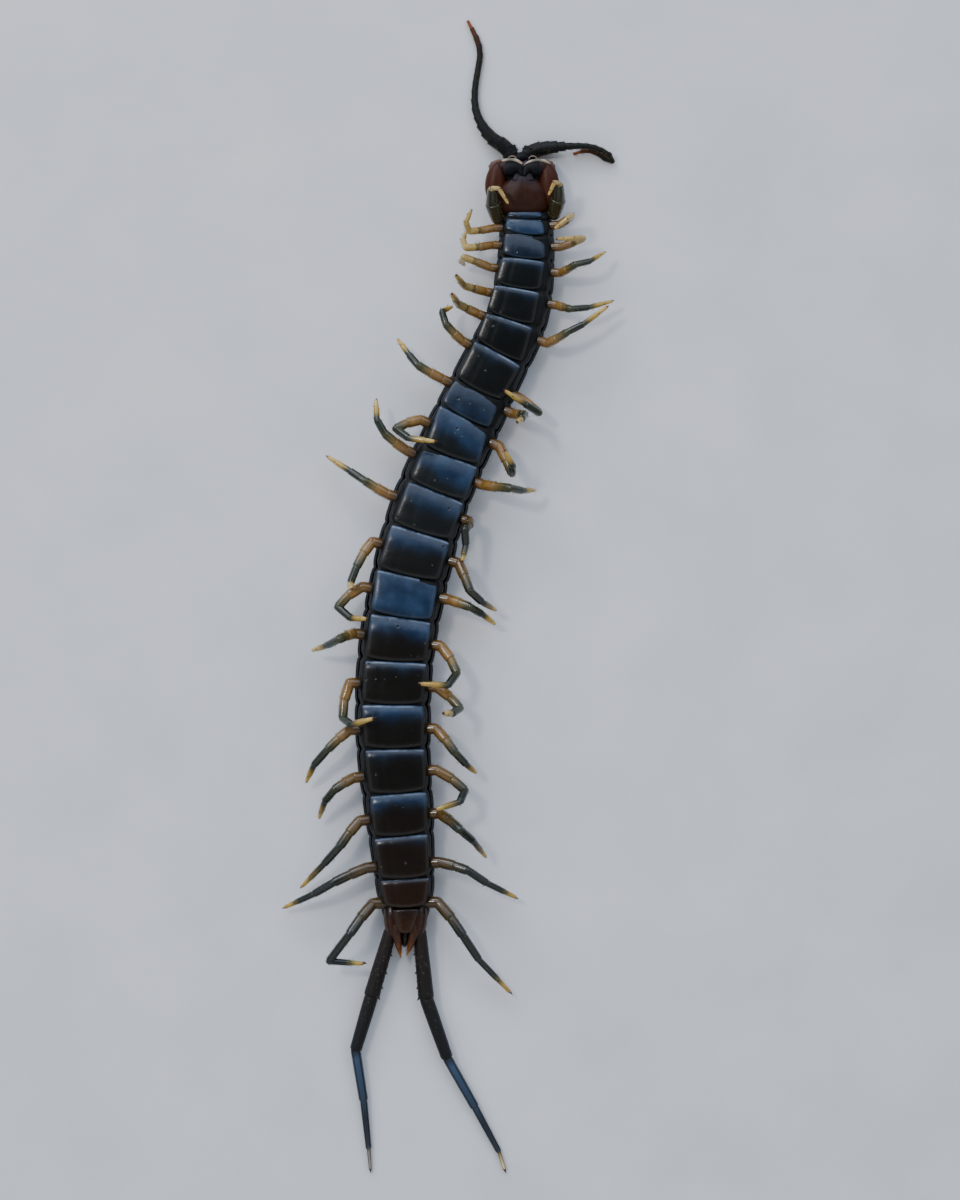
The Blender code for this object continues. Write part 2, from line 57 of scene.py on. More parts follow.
SIZED_SEGMENTS = [1, 4, 7, 10, 12, 14, 16, 18, 20, 21]
TRUNK_WIDTHS = [3.9, 4.5, 5.1, 5.7, 6.0, 5.9, 5.8, 5.3, 4.4, 3.3]
TRUNK_HEIGHTS = [2.4, 2.7, 3.0, 3.1, 3.2, 3.2, 3.2, 3.0, 2.6, 2.2]
SIDES = {"right": -1, "left": 1}
ROOTED_PAIRS = [1, 3, 5, 7, 9, 12, 15, 18, 20]
ROOT_PLACES = [0.3, 0.45, 0.3, 0.22, 0.33, 0.5, 0.58, 0.6, 0.88]
OTHER_ROOT_PLACES = {("left", 7): 0.8, ("right", 9): 0.55, ("left", 13): 0.4}
FLANK_FOOT = (0.95, 0.48)
FLANK_TOP = (0.86, 0.8)
SKIN_SECTION = [(0.0, 0.04), (0.5, 0.04), (0.78, 0.1), (0.88, 0.24), (0.84, 0.34), (0.88, 0.46),
                (0.87, 0.6), (0.82, 0.74), (0.74, 0.84), (0.5, 0.89), (0.0, 0.9)]
SKIN_STEPS = 5
SKIN_RINGS = 18
GROOVE_REACH = 0.07
GROOVE_PINCH = 0.07
GROOVE_DEPTH = 0.16
MOUND_HEIGHT = 0.2
MOUND_RADIUS = 0.42
FOLD_HEIGHT = 0.035
FOLD_LENGTH = 0.42
FOLD_SWAY = 3
FOLD_TURNS = 1.7
FLANK_START = 0.7
FLANK_FADE = 0.1


def plan(x, y, height=0.0):
    """Point in millimetres above a pixel of the plan, or points above many."""
    east = (np.asarray(x) - ORIGIN_PIXEL[0]) * PIXEL_SIZE
    north = (ORIGIN_PIXEL[1] - np.asarray(y)) * PIXEL_SIZE
    return np.stack(np.broadcast_arrays(east, north, height), axis=-1).astype(float)


def unit(vector):
    return vector / np.linalg.norm(vector)


def smooth_route(points, steps=ROUTE_STEPS):
    """Points of a smooth curve that passes through the given ones."""
    points = [np.asarray(point, float) for point in points]
    padded = [points[0] * 2 - points[1]] + points + [points[-1] * 2 - points[-2]]
    route = []
    for before, start, end, after in zip(padded, padded[1:], padded[2:], padded[3:]):
        for step in range(steps):
            t = step / steps
            route.append(0.5 * (2 * start + (end - before) * t
                                + (2 * before - 5 * start + 4 * end - after) * t ** 2
                                + (3 * start - before - 3 * end + after) * t ** 3))
    route.append(points[-1])
    return np.array(route)


class Line:
    """A route that gives its point and direction at any distance from its start."""

    def __init__(self, points):
        self.places = np.array(points)
        steps = np.linalg.norm(np.diff(self.places, axis=0), axis=1)
        self.distances = np.concatenate([[0.0], np.cumsum(steps)])
        self.length = float(self.distances[-1])

    def point(self, distance):
        last = len(self.distances) - 2
        step = int(np.clip(np.searchsorted(self.distances, distance) - 1, 0, last))
        start, end = self.distances[step], self.distances[step + 1]
        share = (distance - start) / (end - start)
        return self.places[step] + (self.places[step + 1] - self.places[step]) * share

    def direction(self, distance):
        return unit(self.point(distance + DIRECTION_REACH) - self.point(distance - DIRECTION_REACH))


TRUNK = Line(smooth_route([plan(*mark) for mark in TRUNK_LINE]))


def trunk_size(segment, place):
    """Width and height of the trunk at a place along one of its segments."""
    return [float(np.interp(segment + place - 0.5, SIZED_SEGMENTS, sizes))
            for sizes in (TRUNK_WIDTHS, TRUNK_HEIGHTS)]


def segment_front(segment):
    return TRUNK_FRONT + sum(SEGMENT_LENGTHS[:segment - 1])


def towards_left(distance):
    return np.cross([0.0, 0.0, 1.0], TRUNK.direction(distance))


def leg_place(pair, side_name):
    """Share of a segment's length at which its leg grows."""
    usual_place = float(np.interp(pair, ROOTED_PAIRS, ROOT_PLACES))
    return OTHER_ROOT_PLACES.get((side_name, pair), usual_place)


def leg_root(pair, side_name):
    """Middle of the flank that a leg grows from, and the way that the flank faces."""
    place = leg_place(pair, side_name)
    distance = segment_front(pair) + place * SEGMENT_LENGTHS[pair - 1]
    width, height = trunk_size(pair, place)
    outward = towards_left(distance) * SIDES[side_name]
    foot, top = [TRUNK.point(distance) + outward * reach * width / 2 + np.array([0, 0, rise * height])
                 for reach, rise in (FLANK_FOOT, FLANK_TOP)]
    along_flank = unit(top - foot)
    return (foot + top) / 2, unit(outward - along_flank * outward.dot(along_flank))


def tube_faces(rings, sides):
    """Faces of a closed tube whose points are a pole, its rings in turn and a pole."""
    faces = []
    last = 1 + (rings - 1) * sides
    for side in range(sides):
        beside = (side + 1) % sides
        faces.append((0, 1 + beside, 1 + side))
        faces.append((last + sides, last + side, last + beside))
        for here in range(1, last, sides):
            faces.append((here + side, here + beside, here + sides + beside, here + sides + side))
    return faces


def with_poles(rings):
    """The points of all rings in a row, with a pole in the middle of each end ring."""
    return np.concatenate([[rings[0].mean(axis=0)], *rings, [rings[-1].mean(axis=0)]])


def place_object(name, data):
    """New object in the scene."""
    thing = bpy.data.objects.new(name, data)
    bpy.context.scene.collection.objects.link(thing)
    return thing


class Form:
    """The closed shapes of one piece, in millimetres, with a value of each kind per point."""

    def __init__(self):
        self.points = []
        self.faces = []
        self.values = {}
        self.count = 0

    def add(self, points, faces, **values):
        self.points.append(np.asarray(points, float))
        self.faces += [tuple(self.count + corner for corner in face) for face in faces]
        for name, value in values.items():
            self.values.setdefault(name, []).append(np.broadcast_to(value, len(points)))
        self.count += len(points)

    def make(self, name, material):
        mesh = bpy.data.meshes.new(name)
        mesh.from_pydata((np.concatenate(self.points) * MM).tolist(), [], self.faces)
        for value_name, parts in self.values.items():
            attribute = mesh.attributes.new(value_name, "FLOAT", "POINT")
            attribute.data.foreach_set("value", np.concatenate(parts).astype(np.float32))
        shape = bmesh.new()
        shape.from_mesh(mesh)
        bmesh.ops.recalc_face_normals(shape, faces=shape.faces)
        shape.to_mesh(mesh)
        shape.free()
        mesh.shade_smooth()
        mesh.materials.append(material)
        return place_object(name, mesh)


def fit(piece, slot, *nodes):
    """Ties a finished piece to the root body and hides the solids that it stands for; the slot is not used.
    """
    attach(piece, "root")
    if nodes:
        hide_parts(*nodes)
    return piece


def paint(hex_value):
    """Linear colour of an sRGB hex value."""
    channels = [int(hex_value[place:place + 2], 16) / 255 for place in (1, 3, 5)]
    linear = [c / 12.92 if c <= 0.04045 else ((c + 0.055) / 1.055) ** 2.4 for c in channels]
    return (*linear, 1.0)


def fill(tree, node, inputs):
    """Gives a node's inputs their values, or links them to a socket or another node."""
    for name, value in inputs.items():
        if isinstance(value, bpy.types.Node):
            value = next(socket for socket in value.outputs if socket.enabled)
        if isinstance(value, bpy.types.NodeSocket):
            tree.links.new(value, node.inputs[name])
        else:
            node.inputs[name].default_value = value


def add_node(tree, kind, inputs=(), stops=(), **settings):
    """Adds a node with its settings, its inputs, as values or links, and its colour stops."""
    node = tree.nodes.new(kind)
    for name, value in settings.items():
        setattr(node, name, value)
    fill(tree, node, dict(inputs))
    for index, (position, hex_value) in enumerate(stops):
        elements = node.color_ramp.elements
        stop = elements[index] if index < 2 else elements.new(position)
        stop.position = position
        stop.color = paint(hex_value)
    return node


def start_material(name, *reads):
    """New material, its tree, its object coordinates and the values it reads from the mesh."""
    material = bpy.data.materials.new(name)
    material.use_nodes = True
    tree = material.node_tree
    where = add_node(tree, "ShaderNodeTexCoord").outputs["Object"]
    values = [add_node(tree, "ShaderNodeAttribute", attribute_name=read).outputs["Fac"] for read in reads]
    return (material, tree, where, *values)


def finish_material(material, **sockets):
    """Gives the shader's sockets their plain values and their links."""
    shader = material.node_tree.nodes["Principled BSDF"]
    fill(material.node_tree, shader, {name.replace("_", " "): value for name, value in sockets.items()})
    return material


def relief(tree, where, size, strength, depth, detail=2.0, over=None):
    """Fine noisy relief, its sizes in millimetres, on top of another relief if one is given."""
    noise = add_node(tree, "ShaderNodeTexNoise", {"Vector": where, "Scale": 1 / (size * MM),
                                                  "Detail": detail})
    bump = add_node(tree, "ShaderNodeBump", {"Strength": strength, "Distance": depth * MM,
                                             "Height": noise})
    if over:
        fill(tree, bump, {"Normal": over})
    return bump


def skin_material():
    """Arthrodial membrane: thin, leathery and finely wrinkled, paler brown on the mound at each leg's root.
    """
    material, tree, where, mound = start_material("arthrodial_membrane", "mound")
    mottle = add_node(tree, "ShaderNodeTexNoise", {"Vector": where, "Scale": 1 / (0.7 * MM),
                                                   "Detail": 4.0})
    tone = add_node(tree, "ShaderNodeValToRGB", {"Fac": mottle},
                    [(0.3, "#050607"), (0.55, "#090c0c"), (0.75, "#101410")])
    pale = add_node(tree, "ShaderNodeMapRange", {"Value": mound, "From Min": 0.6, "From Max": 1.0})
    colour = add_node(tree, "ShaderNodeMix", {0: pale, 6: tone, 7: paint("#2b2415")}, data_type="RGBA")
    return finish_material(material, Base_Color=colour, Roughness=0.5, IOR=1.45, Specular_IOR_Level=0.3,
                           Normal=relief(tree, where, 0.09, 0.5, 0.02, 3.0))


half_skin = smooth_route(SKIN_SECTION, SKIN_STEPS)
skin_ring = np.concatenate([half_skin[:-1], half_skin[:0:-1] * [-1, 1]])
leg_roots = [leg_root(pair, side_name) for pair in range(1, SEGMENTS + 1) for side_name in SIDES]
root_points = np.array([point for point, facing in leg_roots])
root_facings = np.array([facing for point, facing in leg_roots])
skin_points = []
skin_mounds = []
for segment in range(1, SEGMENTS + 1):
    for ring in range(SKIN_RINGS + (segment == SEGMENTS)):
        place = ring / SKIN_RINGS
        distance = segment_front(segment) + place * SEGMENT_LENGTHS[segment - 1]
        width, height = trunk_size(segment, place)
        pinch = math.exp(-(min(place, 1 - place) / GROOVE_REACH) ** 2)
        level = skin_ring[:, 1] * height
        level = level + (0.5 * height - level) * pinch * GROOVE_DEPTH
        across = skin_ring[:, 0] * width / 2 * (1 - pinch * GROOVE_PINCH)
        ring_points = TRUNK.point(distance) + np.outer(across, towards_left(distance))
        ring_points[:, 2] += level
        flank_share = np.clip((np.abs(skin_ring[:, 0]) - FLANK_START) / FLANK_FADE, 0, 1)
        fold = np.sin(2 * math.pi * level / FOLD_LENGTH + FOLD_SWAY * math.sin(distance * FOLD_TURNS))
        fold = fold * FOLD_HEIGHT * flank_share * np.clip(level / height * 4 - 1, 0, 1)
        ring_points += np.outer(fold * np.sign(across), towards_left(distance))
        gaps = np.linalg.norm(ring_points[:, None] - root_points[None], axis=2)
        mounds = np.exp(-(gaps / MOUND_RADIUS) ** 2)
        ring_points += MOUND_HEIGHT * mounds @ root_facings
        skin_points.append(ring_points)
        skin_mounds.append(mounds.max(axis=1))
skin_form = Form()
skin_form.add(with_poles(skin_points), tube_faces(len(skin_points), len(skin_ring)),
              mound=np.pad(np.concatenate(skin_mounds), 1))
fit(skin_form.make("trunk_skin", skin_material()), "shell",
    "trunk_front", "trunk_second", "trunk_middle", "trunk_fourth", "trunk_rear")


# Belly plates, or sternites: one hard convex plate of glossy chitin on each segment, grown
# into the skin. The front of each slopes down and is painted blue, a painted reflection of the
# sky over the cuticle's own faint blue, and the rest is brown-black, with two shallow seams.
STERNITE_CORNERS = [
    ((508, 212), (541, 212)), ((506, 219), (543, 220)), ((505, 232), (545, 238)),
    ((502, 257), (545, 262)), ((494, 285), (540, 293)), ((486, 313), (533, 328)),
    ((475, 341), (521, 366)), ((455, 380), (500, 403)), ((440, 405), (488, 431)),
    ((424, 448), (478, 467)), ((409, 481), (464, 503)), ((392, 524), (450, 542)),
    ((377, 569), (438, 583)), ((371, 613), (431, 622)), ((365, 660), (427, 663)),
    ((362, 704), (424, 705)), ((365, 749), (425, 748)), ((370, 795), (427, 791)),
    ((374, 838), (428, 833)), ((380, 880), (430, 877)), ((385, 908), (426, 907))]
# For each belly plate, the share of its length from the front that is painted blue, and how strongly: a
# painted reflection of the sky over the cuticle's own faint blue.
BLUE_OF_STERNITES = [
    (0.8, 1.0), (1.2, 1.0), (1.15, 0.36), (0.18, 0.7), (0.18, 0.5), (0.14, 0.45), (0.15, 0.45),
    (1.1, 0.5), (0.66, 0.85), (0.62, 0.9), (0.46, 0.62), (0.38, 0.75), (1.05, 0.95), (0.4, 0.95),
    (0.1, 0.9), (0.28, 1.0), (0.14, 0.6), (0.28, 0.95), (0.1, 0.6), (0.1, 0.2)]
PLATE_COLUMNS = 30
PLATE_ROWS = 30
PLATE_THICKNESS = 0.3
PLATE_GAP = 0.2
CORNER_CUT = 0.07
CROWN = 0.16
RIM_DROP = 0.1
SHOULDER_SLOPE = 0.5
DEEPEST_SHOULDER = 0.34
REAR_BULGE = 0.16
REAR_SLOPE = 0.1
CORNER_SHARPNESS = 7
RIM_SHARPNESS = 14
SEAM_PLACE = 0.46
SEAM_WIDTH = 0.035
SEAM_DEPTH = 0.018
BLUE_LEAN = 0.12
BLUE_BLUR = 0.06
# Place and width of a pale line painted along each plate's front edge: a painted highlight.
FRONT_HIGHLIGHT_PLACE = 0.93
FRONT_HIGHLIGHT_WIDTH = 0.04


def eased(count):
    """Even steps from -1 to 1 that close up towards both ends."""
    return np.sin(np.linspace(-math.pi / 2, math.pi / 2, count))


def sheet_faces(columns, rows):
    """Faces of a closed sheet whose points are an outer grid and then an inner one."""
    count = columns * rows
    faces = []
    for row in range(rows - 1):
        for column in range(columns - 1):
            corner = row * columns + column
            quad = (corner, corner + 1, corner + columns + 1, corner + columns)
            faces += [quad, tuple(count + index for index in reversed(quad))]
    rim = list(range(columns)) + [row * columns + columns - 1 for row in range(1, rows)]
    rim += [count - 1 - column for column in range(1, columns)]
    rim += [row * columns for row in range(rows - 2, 0, -1)]
    for here, beside in zip(rim, rim[1:] + rim[:1]):
        faces.append((beside, here, count + here, count + beside))
    return faces


def add_plate(form, surface, columns, rows, thickness, **values):
    """Closed plate under a surface of (u, v), where u and v run from -1 to 1."""
    u, v = [grid.ravel() for grid in np.meshgrid(eased(columns), eased(rows))]
    top = surface(u, v)
    bottom = top - np.array([0.0, 0.0, thickness])
    doubled = {name: np.tile(np.broadcast_to(value(u, v), len(u)), 2) for name, value in values.items()}
    form.add(np.concatenate([top, bottom]), sheet_faces(columns, rows), **doubled)


def between_corners(front, rear, across, back):
    """Points at shares across and back between two front corners and two rear ones."""
    fronts, rears = [np.outer(1 - across, plan(*right)) + np.outer(across, plan(*left))
                     for right, left in (front, rear)]
    return fronts + (rears - fronts) * back[:, None]


def rounded_rim(reach, drop, sharpness):
    """Fall of a plate's surface at its rim, where the reach from its middle is 1."""
    return drop * (1 - np.sqrt(np.clip(1 - reach ** sharpness, 0, 1)))


def sternite_surface(segment):
    """Surface of one belly plate, between its own front corners and those of the next."""
    front, rear = STERNITE_CORNERS[segment - 1], STERNITE_CORNERS[segment]
    share = BLUE_OF_STERNITES[segment - 1][0]
    length = SEGMENT_LENGTHS[segment - 1]
    rear_share = 1 - PLATE_GAP / length
    height = trunk_size(segment, 0.5)[1]
    shoulder_share = min(max(share, 0.22), 0.9)
    shoulder_depth = min(0.5 * SHOULDER_SLOPE * shoulder_share * length, DEEPEST_SHOULDER)

    def surface(u, v):
        cut = CORNER_CUT * min(1.0, 2.0 / length)
        s = 0.5 + 0.5 * u * (1 - cut * np.abs(v) ** CORNER_SHARPNESS)
        t = (0.5 + 0.5 * v * (1 - cut * np.abs(u) ** CORNER_SHARPNESS)) * rear_share
        points = between_corners(front, rear, s, t)
        backward = unit(plan(*rear[0]) + plan(*rear[1]) - plan(*front[0]) - plan(*front[1]))
        bulge = REAR_BULGE * (1 - u ** 2) * np.clip(v, 0, 1) ** 3
        points += np.outer(bulge, backward)
        shoulder = shoulder_depth * np.clip(1 - t / shoulder_share, 0, 1) ** 2
        rear_slope = REAR_SLOPE * np.clip((t - 0.75) / 0.25, 0, 1) ** 2
        seams = SEAM_DEPTH * np.exp(-((np.abs(u) - SEAM_PLACE) / SEAM_WIDTH) ** 2)
        rim = rounded_rim(np.maximum(np.abs(u), np.abs(v)), RIM_DROP, RIM_SHARPNESS)
        points[:, 2] = height - CROWN * u ** 2 - shoulder - rear_slope - seams - rim
        return points

    return surface


def sternite_blue(segment):
    """Share of blue at each point of a belly plate: the cuticle's faint blue and a painted reflection of
    the sky.
    """
    share, strength = BLUE_OF_STERNITES[segment - 1]

    def blue(u, v):
        along = 0.5 + 0.5 * v
        wave = 0.05 * np.sin(3 * u + 1.3 * segment) + 0.03 * np.sin(7 * u + 2.1 * segment)
        dark_side = BLUE_LEAN * np.clip(share * 3 - 1, 0, 1) * u
        return strength / (1 + np.exp((along - share - wave - dark_side) / BLUE_BLUR))

    return blue


def plate_material():
    """Sclerotised chitin: hard, smooth and glossy, with sparse pale specks, rare pits in painted shade, a
    painted highlight line at each front edge and a blue painted reflection of the sky.
    """
    material, tree, where, blue, body_place, front_edge, margin = start_material(
        "sclerotised_chitin", "blue", "body_place", "front_edge", "margin")
    dark = add_node(tree, "ShaderNodeValToRGB", {"Fac": body_place},
                    [(0.0, "#0e1416"), (0.3, "#0b0f0d"), (0.52, "#191d1d"), (0.66, "#14110d"),
                     (0.86, "#100e0a"), (0.95, "#1a1109"), (1.0, "#24150b")])
    mottle = add_node(tree, "ShaderNodeTexNoise", {"Vector": where, "Scale": 1 / (1.4 * MM),
                                                   "Detail": 3.0})
    # The blue of the plates: a painted reflection of the sky over the cuticle's own faint blue.
    blue_and_painted_sky = add_node(tree, "ShaderNodeValToRGB", {"Fac": mottle},
                     [(0.3, "#172940"), (0.5, "#20364f"), (0.7, "#2d4460")])
    colour = add_node(tree, "ShaderNodeMix", {0: blue, 6: dark, 7: blue_and_painted_sky}, data_type="RGBA")
    cells = add_node(tree, "ShaderNodeTexVoronoi", {"Vector": where, "Scale": 1 / (0.55 * MM)})
    picked = add_node(tree, "ShaderNodeSeparateColor", {"Color": cells.outputs["Color"]})
    spots = []
    for channel, rarity, edge, middle, easing in (("Red", 0.8, 0.09, 0.03, "LINEAR"),
                                                  ("Green", 0.9, 0.26, 0.08, "SMOOTHSTEP")):
        near = add_node(tree, "ShaderNodeMapRange", {"Value": cells, "From Min": edge,
                                                     "From Max": middle}, interpolation_type=easing)
        few = add_node(tree, "ShaderNodeMath", {0: picked.outputs[channel], 1: rarity},
                       operation="GREATER_THAN")
        spots.append(add_node(tree, "ShaderNodeMath", {0: near, 1: few}, operation="MULTIPLY"))
    # Rare pits are dented and painted near-black inside: painted shade.
    speck, pit_and_painted_shade = spots
    # A pale line along each plate's front edge, broken up by noise: a painted highlight.
    streak = add_node(tree, "ShaderNodeTexNoise", {"Vector": where, "Scale": 1 / (0.9 * MM)})
    broken = add_node(tree, "ShaderNodeMapRange", {"Value": streak, "From Min": 0.4, "From Max": 0.62,
                                                   "To Min": 0.25, "To Max": 1.0})
    line = add_node(tree, "ShaderNodeMath", {0: front_edge, 1: broken}, operation="MULTIPLY")
    for share, hex_value in ((speck, "#7d776a"), (line, "#8496ae"), (pit_and_painted_shade, "#0b0d0c")):
        colour = add_node(tree, "ShaderNodeMix", {0: share, 6: colour, 7: paint(hex_value)},
                          data_type="RGBA")
    gloss = add_node(tree, "ShaderNodeMapRange", {"Value": mottle, "To Min": 0.15, "To Max": 0.3})
    worn = add_node(tree, "ShaderNodeMath", {0: margin, 1: 0.22, 2: gloss}, operation="MULTIPLY_ADD")
    pit_dip = add_node(tree, "ShaderNodeBump", {"Strength": 0.6, "Distance": 0.06 * MM, "Height": pit_and_painted_shade},
                       invert=True)
    dents = relief(tree, where, 0.8, 0.35, 0.05, over=pit_dip)
    return finish_material(material, Base_Color=colour, Roughness=worn, IOR=1.54, Specular_IOR_Level=0.4,
                           Normal=relief(tree, where, 0.16, 0.3, 0.012, over=dents))


chitin = plate_material()
sternite_form = Form()
for segment in range(1, SEGMENTS + 1):
    add_plate(sternite_form, sternite_surface(segment), PLATE_COLUMNS, PLATE_ROWS, PLATE_THICKNESS,
              blue=sternite_blue(segment), body_place=lambda u, v: segment / SEGMENTS,
              margin=lambda u, v: np.clip((np.maximum(np.abs(u), v) - 0.88) / 0.1, 0, 1),
              front_edge=lambda u, v: np.exp(-((v + FRONT_HIGHLIGHT_PLACE) / FRONT_HIGHLIGHT_WIDTH) ** 2))
fit(sternite_form.make("sternites", chitin), "shell")


# Back plates, or tergites: broad thin shields of the same chitin that the animal now lies
# on. Each wraps round the back up to a raised margin on the flank, and its rear edge lies
# under the front of the next.
TERGITES = 21
TAIL_LENGTH = 2.1
TERGITE_SECTION = [(0.0, 0.0), (0.5, 0.0), (0.78, 0.04), (0.92, 0.14), (0.985, 0.27),
                   (0.99, 0.34), (0.955, 0.37)]
TERGITE_STEPS = 4
TERGITE_ROWS = 14
TERGITE_THICKNESS = 0.1
TERGITE_OVERLAP = 0.12
FRONT_LIFT = 0.08

half_tergite = smooth_route(TERGITE_SECTION, TERGITE_STEPS)
tergite_curve = np.concatenate([half_tergite[:0:-1] * [-1, 1], half_tergite])
tergite_form = Form()
for tergite in range(1, TERGITES + 1):
    length = SEGMENT_LENGTHS[tergite - 1] if tergite <= SEGMENTS else TAIL_LENGTH
    outer_rows, inner_rows = [], []
    for place in np.linspace(0, 1, TERGITE_ROWS):
        distance = segment_front(tergite) + place * (length + TERGITE_OVERLAP)
        width, height = trunk_size(tergite, place)
        taper = 1 - 0.05 * abs(2 * place - 1) ** 6
        if tergite > SEGMENTS:
            taper *= 1 - 0.35 * place ** 3
        lift = FRONT_LIFT * (1 - place) ** 2
        rise = tergite_curve[:, 1] * height + lift
        for rows_of_points, inset in ((outer_rows, 0.0), (inner_rows, TERGITE_THICKNESS)):
            across = tergite_curve[:, 0] * (width / 2 * taper - inset)
            points = TRUNK.point(distance) + np.outer(across, towards_left(distance))
            points[:, 2] = rise + inset
            rows_of_points.append(points)
    tergite_form.add(np.concatenate(outer_rows + inner_rows),
                     sheet_faces(len(tergite_curve), TERGITE_ROWS),
                     blue=0.15, body_place=tergite / TERGITES, margin=0.3, front_edge=0.0)
fit(tergite_form.make("tergites", chitin), "shell")


# Legs 1 to 20: each of a coxa, prefemur, femur, tibia, two tarsal articles and a claw. They
# are tubes of thin amber chitin that darkens to bottle green and ends golden, and the
# articles turn on rings of skin.
LEGS_ON_THE_RIGHT = [
    ((492.5, 190, 3.3), (499, 191.5, 4.0), (509, 208, 3.8)),
    ((469, 232, 2.7), (466, 224, 3.2), (472, 211, 3.6)),
    ((466, 249, 3.0), (463, 241, 2.4), (466, 231, 1.6)),
    ((464, 258, 2.6), (461, 261, 1.6), (465, 264, 0.5)),
    ((464, 287, 3.3), (460, 283, 4.3), (456, 279, 5.7)),
    ((458, 305, 3.0), (455, 301, 4.1), (452, 297, 5.4)),
    ((446, 325, 2.8), (442, 312, 2.6), (453, 306, 1.7)),
    ((418, 366, 2.8), (409, 355, 2.5), (397, 338, 1.6)),
    ((396, 429, 2.6), (409, 439, 3.4), (438, 443, 4.0)),
    ((385, 434, 2.6), (377, 420, 2.6), (376, 398, 2.0)),
    ((365, 481, 2.4), (350, 471, 2.0), (325, 455, 1.0)),
    ((357, 567, 3.0), (351, 583, 3.2), (353, 590, 4.6)),
    ((338, 607, 2.4), (351, 618, 2.9), (369, 619, 3.6)),
    ((340, 639, 4.0), (328, 645, 3.0), (311, 651, 1.5)),
    ((343, 718, 2.6), (352, 724, 3.5), (376, 717, 4.2)),
    ((328, 749, 2.6), (314, 765, 2.0), (305, 784, 1.0)),
    ((335, 789, 2.8), (325, 801, 2.2), (318, 820, 1.0)),
    ((340, 846, 2.6), (324, 864, 2.0), (299, 890, 0.8)),
    ((334, 882, 2.4), (314, 894, 1.9), (281, 910, 0.8)),
    ((350, 933, 3.0), (329, 961, 2.2), (367, 964, 2.0)),
]
LEGS_ON_THE_LEFT = [
    ((558.3, 185.5, 3.3), (554, 185, 3.9), (547.5, 199, 3.7)),
    ((572, 217, 3.0), (567, 221, 3.8), (553, 232, 3.6)),
    ((583, 239, 2.6), (574, 240, 3.3), (555, 241, 3.5)),
    ((575, 266, 3.2), (590, 262, 2.8), (606, 251, 1.8)),
    ((570, 310, 3.0), (588, 308, 2.4), (615, 300, 1.5)),
    ((567, 333, 2.8), (583, 325, 2.7), (609, 306, 2.6)),
    ((539, 413, 2.4), (525, 405, 3.2), (503, 391, 4.0)),
    ((524, 416, 4.1), (521, 421, 5.0), (516, 425, 6.2)),
    ((512, 474, 3.0), (512, 466, 3.9), (504, 451, 4.6)),
    ((510, 489, 4.0), (522, 491, 3.1), (536, 490, 1.7)),
    ((465, 530, 3.3), (466, 545, 3.0), (462, 563, 3.4)),
    ((470, 591, 3.4), (482, 602, 3.0), (497, 611, 1.7)),
    ((470, 607, 3.0), (482, 614, 2.4), (496, 625, 1.4)),
    ((457, 673, 2.9), (448, 685, 3.7), (418, 683, 4.2)),
    ((460, 708, 2.8), (452, 713, 3.7), (443, 712, 4.9)),
    ((455, 752, 2.8), (466, 764, 2.3), (477, 774, 1.5)),
    ((465, 790, 2.6), (460, 801, 3.3), (434, 809, 3.8)),
    ((460, 828, 3.8), (473, 840, 2.9), (487, 859, 1.3)),
    ((468, 870, 2.6), (487, 883, 2.2), (519, 900, 1.0)),
    ((463, 935, 2.4), (479, 960, 1.9), (513, 997, 0.7)),
]
LEG_MARKS = {"right": LEGS_ON_THE_RIGHT, "left": LEGS_ON_THE_LEFT}
JOINT_GAP = 0.3
FIRST_COXA_LENGTH = 0.1
COXA_LENGTH = 0.35
COXA_ROOT = 0.55
SIZED_LEGS = [1, 4, 9, 17, 20]
LEG_RADII = [0.29, 0.31, 0.38, 0.39, 0.41]
BOW = 0.06
TARSUS_SPLIT = 0.56
CLAW_START = 0.9
CLAW_PLACE = 6.6
CLAW_GIRTH = 0.34
LEG_SIDES = 14
SHAPE_STEPS = 2
ARTICLE_SHAPE = [(0.0, 0.0), (0.0, 0.75), (0.03, 0.91), (0.1, 0.95), (0.3, 0.98), (0.55, 1.0),
                 (0.8, 1.0), (0.93, 1.0), (0.975, 0.95), (1.0, 0.75), (1.005, 0.0)]
JOINT_SHAPE = [(0.0, 0.0), (0.1, 0.6), (0.3, 0.92), (0.5, 1.0), (0.7, 0.92), (0.9, 0.6), (1.0, 0.0)]
LEG_GIRTHS = [(1.08, 1.06), (0.98, 0.92), (0.84, 0.76), (0.66, 0.58), (0.54, 0.34)]
SPUR_LENGTH = 0.2
SPUR_RADIUS = 0.04
THIGH_END = 2.4
FIRST_THIGH_END = 3.05
FOOT_END = 6.4
LAST_BRIGHT_PAIR = 15
PAIRS_TO_DARK = 4
PALE_SHINNED_PAIRS = 3
PALE_SHINS = {("right", 4): 0.8, ("right", 5): 0.55, ("right", 6): 0.45}
DARK_LEGS = {("left", 11): 0.85, ("left", 12): 0.6}
FIRST_LEG_GIRTHS = [(1.65, 1.95), (2.0, 1.3), (0.8, 0.75), (0.85, 0.8), (0.85, 0.85)]
CLAW_SHAPE = [(0.0, 1.0), (0.3, 0.85), (0.65, 0.5), (1.0, 0.06)]
SPINE_PLACES = np.array([-0.4, 0.0, 0.25, 0.6, 1.0])
SPINE_SHAPE = np.array([1.5, 1.3, 0.85, 0.5, 0.08])


